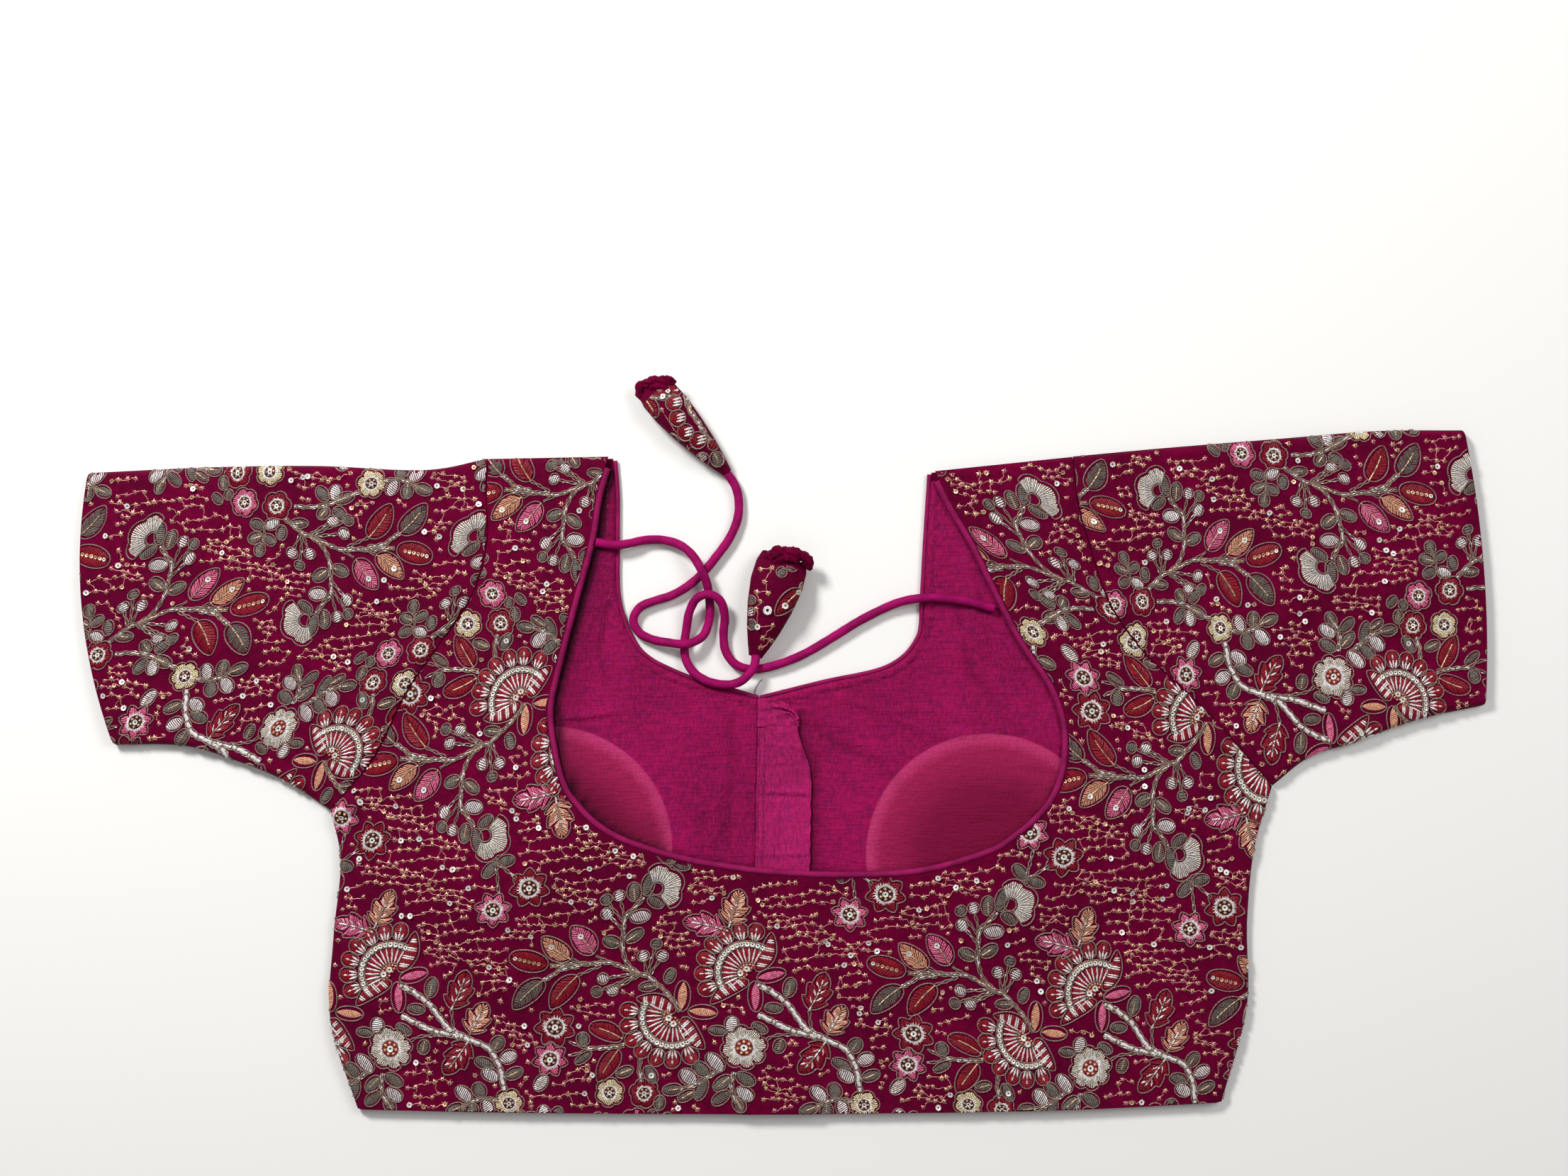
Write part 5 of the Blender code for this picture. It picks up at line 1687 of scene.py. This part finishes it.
class Sleeve:
    """A flattened sleeve: its folds, cuff and head in plan, and the heights of its layers."""

    def __init__(self, side):
        self.side = side
        fine = np.linspace(0, 1, 41)
        sections = [sleeve_section(side, s, fine) for s in fine]
        self.cuff, self.head = sections[0], sections[-1]
        self.folds = [np.array([s[0] for s in sections]), np.array([s[-1] for s in sections])]
        self.outline = np.vstack([self.folds[0], self.head[1:], self.folds[1][-2::-1],
                                  self.cuff[-2:0:-1]])
        self.shares, *_, self.heights = np.array(SLEEVES[side]).T

    def over(self, p):
        return rolled(nearest(p, self.folds))

    def upper(self, p):
        cuff, head = distance(p, self.cuff), distance(p, self.head)
        height = np.interp(cuff / np.maximum(cuff + head, 1e-9), self.shares, self.heights)
        rise = (fold_lift(p) + creased(p, SLEEVE_CREASES[self.side])
                + seam_dip(p, [self.head]))
        return SEAM_Z + (height - SEAM_Z + rise) * self.over(p)

    def lower(self, p):
        return SEAM_Z * (1 - self.over(p))


SLEEVE_PANELS = {side: Sleeve(side) for side in SIDES}


# ---- Pieces -----------------------------------------------------------------
def joined(parts):
    """Several meshes as one: their points and quads."""
    starts = np.cumsum([0] + [len(points) for points, _ in parts[:-1]])
    return (np.vstack([points for points, _ in parts]),
            np.vstack([quads + start for (_, quads), start in zip(parts, starts)]))


def outline_round(plan):
    """The closed outline of a grid of plan places."""
    return np.vstack([plan[:, 0], plan[::-1, -1]])


def flat_area(outline):
    x, y = outline[:, 0], outline[:, 1]
    return abs(np.dot(x, np.roll(y, -1)) - np.dot(y, np.roll(x, -1))) / 2


def whole_piece(name, mesh, finish, slot, node, sharp=50, shade=None):
    """A piece of one finish in place of a solid."""
    return piece(name, *mesh, [finish], slot, replaces=[node], sharp=sharp, shade=shade)


def level(height):
    return lambda p: np.full(len(p), height)


def knobs(seed, rows, columns):
    """Uneven bulges of -1 to 1, evened out a little from row to row."""
    rough = np.random.default_rng(seed).uniform(-1, 1, (rows + 2, columns))
    return (rough[:-2] + rough[1:-1] + rough[2:]) / 3


def make_back(silk):
    plan = back_grid(fine=13, step=0.0034)
    low = lifted(plan, lambda p: back_low(p) + SKIN)
    back = whole_piece("back_cloth", wall(low, low + (0, 0, CLOTH - 2 * SKIN)), silk,
                       "outer_cloth", "back")
    return back, outline_round(plan)


def make_front(side, silk):
    plan = front_grid(side, 8, np.linspace(0, 1, 24))
    low = lifted(plan, level(UNDER_Z))
    front = whole_piece(f"front_cloth_{side}", wall(low, low + (0, 0, CLOTH - UNDER_Z - SKIN)),
                        silk, "outer_cloth", f"front_{side}")
    return front, outline_round(plan)


def make_sleeve(side, silk):
    panel = SLEEVE_PANELS[side]
    width = line_length(panel.cuff)
    steps = in_steps(width, 0.0035)
    shares = np.concatenate([np.linspace(0, 0.96, 40), [0.98, 1.0]])
    plan = np.array([sleeve_section(side, s, steps) for s in shares])
    upper = lifted(plan, lambda p: panel.upper(p) - SKIN)
    lower = lifted(plan, lambda p: panel.lower(p) + UNDER_Z)
    outer = np.concatenate([upper, lower[:, -2:0:-1]], axis=1)
    middle = outer.mean(axis=1, keepdims=True)
    thin = CLOTH - 2 * SKIN
    inner = outer.copy()
    count = len(steps)
    inner[:, :count, 2] -= thin
    inner[:, count:, 2] += thin
    pull = ease(1 - np.minimum(np.arange(count), np.arange(count)[::-1]) / 6)
    pull = np.concatenate([pull, pull[-2:0:-1]])[None, :, None]
    towards = (middle - inner)[..., :2]
    towards = towards / np.linalg.norm(towards, axis=2, keepdims=True)
    inner[..., :2] += towards * thin * pull
    half = (upper[..., 2] + lower[..., 2]) / 2
    half = np.concatenate([half, half[:, -2:0:-1]], axis=1)
    above = np.arange(outer.shape[1]) < count
    inner[..., 2] = np.where(above, np.maximum(inner[..., 2], half + 0.00005),
                             np.minimum(inner[..., 2], half - 0.00005))
    rows, around = outer.shape[:2]
    skin, total = band_quads(rows, around), rows * around
    quads = np.vstack([skin, skin[:, ::-1] + total,
                       side_quads(np.arange(around), total)[:, ::-1],
                       side_quads(np.arange(total - around, total), total)])
    if side == "right":
        quads = quads[:, ::-1]
    points = np.vstack([outer.reshape(-1, 3), inner.reshape(-1, 3)])
    return whole_piece(f"sleeve_cloth_{side}", (points, quads), silk, "outer_cloth",
                       f"sleeve_{side}", 60)


def make_lining(side, cloth):
    plan = lining_grid(side, fine=19, columns=46)
    mesh = wall(lifted(plan, lambda p: lining_low(p) + SKIN),
                lifted(plan, lambda p: lining_top(side, p)))
    # painted shade for the lining's finish, from lining_shade
    dark = np.tile(lining_shade(plan.reshape(-1, 2)), 2)
    lining = whole_piece(f"lining_cloth_{side}", mesh, cloth, "lining_cloth",
                         f"lining_{side}", shade=dark)
    return lining, flat_area(outline_round(plan))


def make_pad(side, foam):
    """A moulded round pad, domed and thin at its edge."""
    centre = np.array(PADS[side])
    shares = np.concatenate([[0.02], np.linspace(0.08, 0.9, 14), [0.95, 0.985, 1.0]])
    plan = centre + (PAD_RADIUS - SKIN) * shares[:, None, None] * polar(0, 0, all_round(72), 1)
    base = CLOTH + GAP + HAIR
    height = base + pad_height(shares) - SKIN
    top = np.concatenate([plan, np.broadcast_to(height[:, None, None], plan.shape[:2] + (1,))], 2)
    rows, around = top.shape[:2]
    bottom = top[-1:].copy()
    bottom[..., 2] = base
    mesh = np.concatenate([top, bottom], 0), closed_quads(rows + 1, around)[:, ::-1]
    pad = whole_piece(f"bust_pad_{side}", mesh, foam, "pad_foam", f"pad_{side}")
    return pad


def placket_base(p):
    return lining_low(p) + LINING + LINING_EASE + GAP


def placket_top(p):
    """The shown face of the placket, grooved where it is stitched."""
    past = past_opening(p)
    groove = sum(bell(past - at, 0.0009) for at in PLACKET_STITCHED)
    edge_lift = 0.0004 * bell(past - placket_width(p[:, 1]), 0.0016)
    lift = (creased(p, PLACKET_CREASES) - 0.0004 * groove + edge_lift
            + 0.00016 * ripple(p, (0.006, 0.008, 0.011, 0.015), 4))
    return placket_base(p) + LINING - SKIN + np.maximum(lift, -0.0004)


# Rolled raw edges of the placket's end: radius, then places in millimetres.
PLACKET_ROLLS = [
    (0.9, (-5.2, 33.8), (1, 32.8), (5.4, 30.6), (7.6, 26.8)),
    (0.6, (0, 30.2), (3.6, 29.6), (6.2, 27), (7.4, 23.6)),
    (0.4, (7.8, 26.2), (7, 21), (8.6, 16), (10, 11),
     (12.8, 4)),
]


# The folded end: past the opening, its raw right edge, and how that slopes and wavers.
END_LAP, END_RIGHT, END_TAPER, END_WAVER = 0.0009, 0.0082, 0.35, 0.0005
PLACKET_CRUMPLE = 0.00045
PLACKET_FRAY = 0.00035


def make_placket(cloth):
    """The hook placket: a strip with a raw edge, and its end folded over at the top."""
    ys = np.concatenate([np.linspace(PLACKET_TOP, PLACKET_SEEN, 96),
                         np.linspace(PLACKET_SEEN - 0.006, PLACKET_FOOT, 12)])
    shares = np.concatenate([np.linspace(-0.03, 0.2, 16), np.linspace(0.24, 1, 18)])
    fray = PLACKET_FRAY * ripple(np.column_stack([ys, 0 * ys]), (0.004, 0.007, 0.013), 8)
    width = placket_width(ys) + fray
    x = opening_x(ys)[:, None] + width[:, None] * shares
    strip = np.stack(np.broadcast_arrays(x, ys[:, None]), -1)
    parts = [wall(lifted(strip, lambda p: placket_base(p) + SKIN), lifted(strip, placket_top))]

    ys = np.linspace(PLACKET_TOP - 0.0002, V_PLACE[1] - HAIR, 18)
    left = opening_x(ys) - END_LAP
    right = END_RIGHT - END_TAPER * (ys - PLACKET_TOP) + END_WAVER * np.sin(ys * 1100 + 1)
    end = np.stack([left[:, None] + (right - left)[:, None] * np.linspace(0, 1, 30),
                    np.broadcast_to(ys[:, None], (18, 30))], -1)
    end[..., 1] -= (0.0042 * ease((end[..., 0] + 0.006) / 0.013)
                    * ease((ys - PLACKET_TOP) / 0.012)[:, None])

    def crumpled(p):
        rise = PLACKET_CRUMPLE * ripple(p, (0.0042, 0.0055, 0.007, 0.009), 6)
        return placket_base(p) + LINING - SKIN + np.maximum(rise, -0.0004)
    parts.append(wall(lifted(end, lambda p: placket_base(p) + SKIN), lifted(end, crumpled)))
    for radius, *places in PLACKET_ROLLS:
        radius = radius * MM
        line = curve(in_metres(places), 60)
        line = np.column_stack([line, placket_base(line) + LINING + radius * 0.5])
        parts.append(tube(line, radius, 12, 1 + 0.5 * knobs(31, 60, 12)))
    placket = whole_piece("placket_strip", joined(parts), cloth, "placket_cloth",
                          "hook_placket")
    return placket, flat_area(outline_round(strip)) + flat_area(outline_round(end))


# Loose thread ends: places in millimetres.
LOOSE_THREADS = [
    [(-12, 36), (-14.5, 40), (-12.5, 45), (-10.5, 47)], [(7, 33.5), (3, 37), (-0.5, 42)],
    [(-24, 33.5), (-20, 34.5), (-16, 32)], [(-12.5, 34), (-8, 38.5), (-5.5, 36), (-7, 33)],
    [(141, 33.5), (136, 32), (133.6, 24), (136.2, 12)], [(95, 92), (97.5, 87), (94, 80)],
]


def make_stitching(finishes):
    """The stitches that show inside: along the neck's facing and the placket, and loose ends."""
    work = Work()

    def dashes(line, pitch):
        length, width = 2.0, 0.4
        at = np.arange(0, line_length(line) - length, pitch)
        fine = even(line, 400)
        run = np.linspace(0, line_length(line), 400)
        ends = [np.stack([np.interp(at + d, run, fine[:, k]) for k in range(2)], 1)
                for d in (0, length)]
        work.strokes(*ends, SEWING, width, 0.3, 0.1)
    for side, turn in (("left", -1), ("right", 1)):
        line = FRONT_NECKS[side][4:-2]
        dashes((line + turn * right_of(line) * -FACING) / MM, 2.9)
    ys = np.linspace(PLACKET_TOP - 0.001, -0.055, 60)
    for at in PLACKET_STITCHED:
        dashes(np.column_stack([opening_x(ys) + at, ys]) / MM, 2.6)
    for places in LOOSE_THREADS:
        work.cord(curve(places, 16), SEWING, 0.34, high=0.3)
    outlines = {side: outline_round(lining_grid(side, 6, 2)) for side in SIDES}

    def height(p):
        z = np.full(len(p), HAIR)
        for side in SIDES:
            within = inside(p, outlines[side])
            z[within] = lining_top(side, p[within])
        past = past_opening(p)
        on = (past > 0) & (past < placket_width(p[:, 1])) & (p[:, 1] < PLACKET_TOP)
        z[on] = placket_top(p[on])
        return z
    return laid("inside", work, height, finishes, "lining_cloth",
                {"stitching": (SEWING,)})


# Steps along a cord, the turn of its cloth at each, and how far that stands out.
PIPING_STEP, PIPING_TWIST, PIPING_WRAP = 0.0015, 0.9, 0.015
DORI_STEP, DORI_TWIST, DORI_CRUSH, DORI_SEAM = 0.0011, 0.16, 0.03, 0.05
DORI_SLIM = 0.97            # of its solid's radius


def make_piping(name, plan, height, radius, finish, replaced):
    line = lifted(even(plan, int(line_length(plan) / PIPING_STEP)), height)
    turn = np.arange(len(line))[:, None] * PIPING_TWIST + all_round(12)
    return whole_piece(name, tube(line, radius, 12, 1 + PIPING_WRAP * np.sin(turn)), finish,
                       "piping_cloth", replaced, None)


def make_dori(side, finish):
    """A tie cord: a bias tube of cloth from the back neck to its tassel."""
    route = curve(ROUTES[side], 400)
    line = even(route, int(line_length(route) / DORI_STEP))
    turn = np.arange(len(line))[:, None] * DORI_TWIST + all_round(16)
    crush = np.sin(np.arange(len(line)) * 0.83)[:, None] * np.sin(turn * 2)
    seam = np.exp(-((turn + math.pi) % math.tau - math.pi) ** 2 / 0.05)
    profile = 1 + DORI_CRUSH * crush + DORI_SEAM * seam
    cord = whole_piece(f"tie_cord_{side}", tube(line, DORI_RADIUS * DORI_SLIM, 16, profile),
                       finish, "cord_cloth", f"dori_{side}", None)
    return cord, line


def tassel_shape(side, share):
    """A tassel's tip, run, unit across, and half width and height at shares of its length."""
    tip, end, (wide, high) = np.split(TASSELS[side], (2, 4))
    run = end - tip
    at, widths, heights = np.array(TASSEL_PROFILE).T
    return (tip, run, -sideways(run[None])[0], np.interp(share, at, widths) * wide / 2,
            np.interp(share, at, heights) * high / 2)


def tassel_top(side, p):
    """The height of a tassel's upper face."""
    tip, run, cross, *_ = tassel_shape(side, 0)
    share = np.clip((p - tip) @ run / (run @ run), 0, 1)
    *_, width, middle = tassel_shape(side, share)
    return middle * (1 + np.sqrt(np.clip(1 - ((p - tip) @ cross / width) ** 2, 0, 1)))


def tassel_outline(side):
    """The part of a tassel that embroidery may cover, in plan."""
    within, shares = 0.95, np.linspace(0.02, 0.93, 30)
    tip, run, cross, width, _ = tassel_shape(side, shares)
    middle = tip + shares[:, None] * run
    out = cross * (width * within)[:, None]
    return np.vstack([middle + out, (middle - out)[::-1]])


# Crumpled rolls of cloth at a tassel's open end: radius, then places in millimetres.
BUNCHES = {
    "left": [(2.2, (-72.2, 189.5, 6), (-72.7, 196, 8),
              (-66.7, 198.5, 11.5), (-60, 199, 12), (-54.5, 198.5, 9)),
             (1.6, (-70, 194.5, 9), (-64, 196, 13),
              (-58, 195, 12.5))],
    "right": [(2.7, (-9, 107.5, 10), (-3, 112, 12),
               (4.5, 111.5, 12.5), (11, 109, 11), (14, 103, 8)),
              (1.8, (-6, 106, 12.5), (1, 109, 13.8),
               (8, 107.5, 13))],
}
# What is embroidered on the tassels, in millimetres.
TASSEL_PETALS = [(-55.3, 195.0), (-55.4, 187.4), (-53.4, 179.6), (-49.4, 172.6), (-43.2, 168.6)]
TASSEL_LEAVES = {
    "left": [("plain", MAROON, "gold", -68.5, 195, -58.5, 192.5, 7),
             ("plain", MAROON, "gold", -69.5, 189.5, -63.5, 180.5, 7)],
    "right": [("plain", MAROON, "sequin", 8.6, 93.2, -4.2, 79.9, 8.2)],
}
TASSEL_OVALS = {
    "left": [(SILVER, -42.5, 162.2, -39.5, 155.8, 6.6, "gold"),
             (GREY, -35.5, 162.8, -32, 155.8, 6, "gold"), (GREY, -58, 172, -53.5, 165, 5, "gold"),
             (MAROON, -38, 167.6, -33.4, 165, 5)],
    "right": [(GREY, -2.2, 99.6, 0.6, 104, 5), (GREY, 3.2, 102.4, 6.2, 107, 5),
              (GREY, -16.6, 90, -15.6, 85.5, 4), (SILVER, -16.8, 84, -16.0, 79.6, 4),
              (GREY, -16.4, 78, -15.4, 72.5, 4)],
}
TASSEL_CORDS = {
    "left": [[(-50, 193), (-47.8, 184.5), (-42.8, 177), (-37.5, 168)],
             [(-70, 193.5), (-66, 190.5), (-61, 189.5), (-57, 190.8)]],
    "right": [[(8.6, 93.4), (10.5, 96.5), (13.4, 99.5)]],
}
TASSEL_STARS = {
    "left": [(-61.5, 184), (-48.5, 164.5)],
    "right": [(-11.5, 103.4), (-5.6, 104.1), (-9.5, 97), (-7.6, 91.1), (-13.4, 91.8),
              (-11.5, 87.2), (-13.7, 83.3), (-12.8, 74.3), (-5.3, 74.9), (-10.5, 68.4),
              (-6.0, 67.2), (-11.4, 63.5)],
}
TASSEL_SEQUINS = {"left": [(-60.8, 190.6, 1.3), (-58.5, 193.2, 1.2)],
                  "right": [(-7.9, 82.7, 2.3), (-12.8, 74.3, 1.5), (7.2, 91.8, 1.3)]}


def make_tassel_work(side, finishes):
    work = Work()
    if side == "left":
        for x, y in TASSEL_PETALS:
            oval(work, MAROON, x - 4.0, y - 0.8, x + 4.0, y + 0.8, 8.0)
            places = np.array([(x + 0.2, y - 1.5), (x + 0.4, y), (x + 0.2, y + 1.5)])
            work.strokes(places + (3.2, 0.7), places + (-0.6, -0.2), width=1.2, lift=0.7)
    for row in TASSEL_LEAVES[side]:
        leaf(work, *row)
    for row in TASSEL_OVALS[side]:
        oval(work, *row)
    for places in TASSEL_CORDS[side]:
        stem(work, "twin", *places)
    stars = np.array(TASSEL_STARS[side])
    work.stars(stars, 1.9)
    work.threads_between(stars[:-1], stars[1:])
    for x, y, radius in TASSEL_SEQUINS[side]:
        work.sequins([(x, y)], radius, lift=1.0, tilt=0.3)
    work.cut(tassel_outline(side) / MM)
    return laid(f"tassel_{side}", work, lambda p: tassel_top(side, p), finishes,
                "tassel_cloth", {"all": TONES})


GATHERED = (-0.035, -0.018)     # shares before a tassel's tip, drawn in round the cord
DRAWN_IN = 0.016            # in metres, for each share of its length
RAGGED, RAGGED_FROM = 0.03, 0.85    # how uneven its mouth is, and from which share
TASSEL_CLOTH = CLOTH * 0.8


def make_tassel(side, silk):
    """A cone of rolled cloth at a tie cord's end, with a crumpled open top."""
    shares = np.append(GATHERED, np.linspace(0, 1, 40))
    tip, run, cross, widths, heights = tassel_shape(side, shares)
    sides = 48
    angles = all_round(sides)
    random = np.random.default_rng(11 if side == "left" else 12)
    ragged = np.convolve(np.tile(random.uniform(-1, 1, sides), 3), np.ones(3) / 3,
                         "same")[sides:2 * sides]
    rings = []
    for inner in (0, 1):
        rows = zip(shares, widths, heights)
        for share, width, height in list(rows)[:: 1 - 2 * inner]:
            thin = (TASSEL_CLOTH if inner else 0) * min(1, share * 8)
            if share < 0:
                thin = -share * DRAWN_IN
            mouth = max(0, share - RAGGED_FROM) / (1 - RAGGED_FROM)
            reach = share + RAGGED * ragged * mouth
            place = (tip + run * reach[:, None]
                     + cross * ((width - thin) * np.cos(angles))[:, None])
            rings.append(np.column_stack([place, height + (height - thin) * np.sin(angles)]))
    rings = np.array(rings)[:-6]
    parts = [(rings.reshape(-1, 3), closed_quads(len(rings), sides))]
    for k, (radius, *places) in enumerate(BUNCHES[side]):
        line = even(curve(in_metres(places), 60), 44)
        bulges = 1 + 0.55 * knobs(20 + k, 44, 18)[:, :16]
        taper = np.minimum(1, 0.35 + np.minimum(np.arange(44), np.arange(44)[::-1]) / 6)
        parts.append(tube(line, radius * MM, 16, bulges * taper[:, None]))
    return whole_piece(f"tassel_cloth_{side}", joined(parts), silk, "tassel_cloth",
                       f"tassel_{side}", 60)


# ---- Making -----------------------------------------------------------------
SILK_CLOTH = make_silk()
LINING_CLOTH = {side: make_lining_cloth(f"slub lining {side}", LINING_TONE, [PADS[side]])
                for side in SIDES}
PLACKET_CLOTH = make_lining_cloth("slub placket", PLACKET_TONE, grain=(1, 0.10, 1))
PIPING_CLOTH = make_cord_cloth("satin piping", PIPING_TONE)
CORD_CLOTH = make_cord_cloth("satin tie cord", CORD_TONE)
FOAM = make_pad_foam()
FLOSS = {name: make_thread(name, *row) for name, row in THREADS.items()}

TIE_CORDS = {side: make_dori(side, CORD_CLOTH) for side in SIDES}
TASSEL_CLOTHS = {side: make_tassel(side, SILK_CLOTH) for side in SIDES}
for side in SIDES:
    cord_piece, cord_line = TIE_CORDS[side]
    tassel_work = make_tassel_work(side, FLOSS)
    round(line_length(cord_line), 3)

CHART = chart(1.0)
UNDER_CHART = chart(UNDER_COARSE)
BACK_CLOTH, BACK_OUTLINE = make_back(SILK_CLOTH)
back_work = embroider("back", BACK_OUTLINE, lambda p: back_low(p) + CLOTH - SKIN, FLOSS)
flat_area(BACK_OUTLINE)
for side in SIDES:
    front, outline = make_front(side, SILK_CLOTH)
    width, length = np.ptp(outline, axis=0)
    work = embroider(f"front_{side}", outline, level(UNDER_Z), FLOSS, under=True)
    flat_area(outline)
    sleeve = make_sleeve(side, SILK_CLOTH)
    panel = SLEEVE_PANELS[side]
    lining, area = make_lining(side, LINING_CLOTH[side])
    work = embroider(f"sleeve_{side}", panel.outline, lambda p: panel.upper(p) - SKIN, FLOSS)
    work += embroider(f"sleeve_under_{side}", panel.outline,
                      lambda p: panel.lower(p) + UNDER_Z, FLOSS, under=True)
    around = 2 * np.ptp(panel.outline[:, 1])
    np.ptp(panel.outline[:, 0])
    2 * flat_area(panel.outline)
    make_pad(side, FOAM)
placket, area = make_placket(PLACKET_CLOTH)
make_stitching(FLOSS)

NECK, _ = back_outline(14)
make_piping("neck_piping", NECK[4:-4], lambda p: inside_top(p) + GAP + PIPING_RADIUS,
            PIPING_RADIUS, PIPING_CLOTH, "piping_back")
for side in SIDES:
    line = front_inner(side, np.linspace(0.06, V_POINT, 120))
    make_piping(f"front_edging_{side}", line,
                level(EDGING_RADIUS + HAIR), EDGING_RADIUS, PIPING_CLOTH,
                f"piping_front_{side}")


# ---- Floor and light --------------------------------------------------------
def make_floor():
    mesh = bpy.data.meshes.new("floor")
    half, drop = 3.0, 0.0006
    mesh.from_pydata([(-half, -half, -drop), (half, -half, -drop), (half, half, -drop),
                      (-half, half, -drop)], [], [(0, 1, 2, 3)])
    mesh.materials.append(Finish("pale floor", (236, 235, 232), 0.9,
                                 Specular_IOR_Level=0.2).material)
    placed("floor", mesh)


def make_light(name, place, size, power):
    """A round soft light that faces the blouse's middle."""
    data = bpy.data.lights.new(name, "AREA")
    data.shape, data.size, data.energy = "DISK", size, power
    light = placed(name, data)
    light.location = place
    light.rotation_euler = (-Vector(place)).to_track_quat("-Z", "Y").to_euler()


def make_studio():
    world = bpy.data.worlds.new("studio")
    world.use_nodes = True
    sky = world.node_tree.nodes["Background"]
    sky.inputs["Color"].default_value = (1.0, 1.0, 1.0, 1)
    sky.inputs["Strength"].default_value = 0.33
    scene = bpy.context.scene
    scene.world = world
    scene.view_settings.view_transform = "Standard"
    make_light("key light", (-0.7, 0.95, 1.0), size=0.36, power=21.5)
    make_light("fill light", (0.9, 0.6, 1.2), size=0.8, power=8)


make_floor()
make_studio()
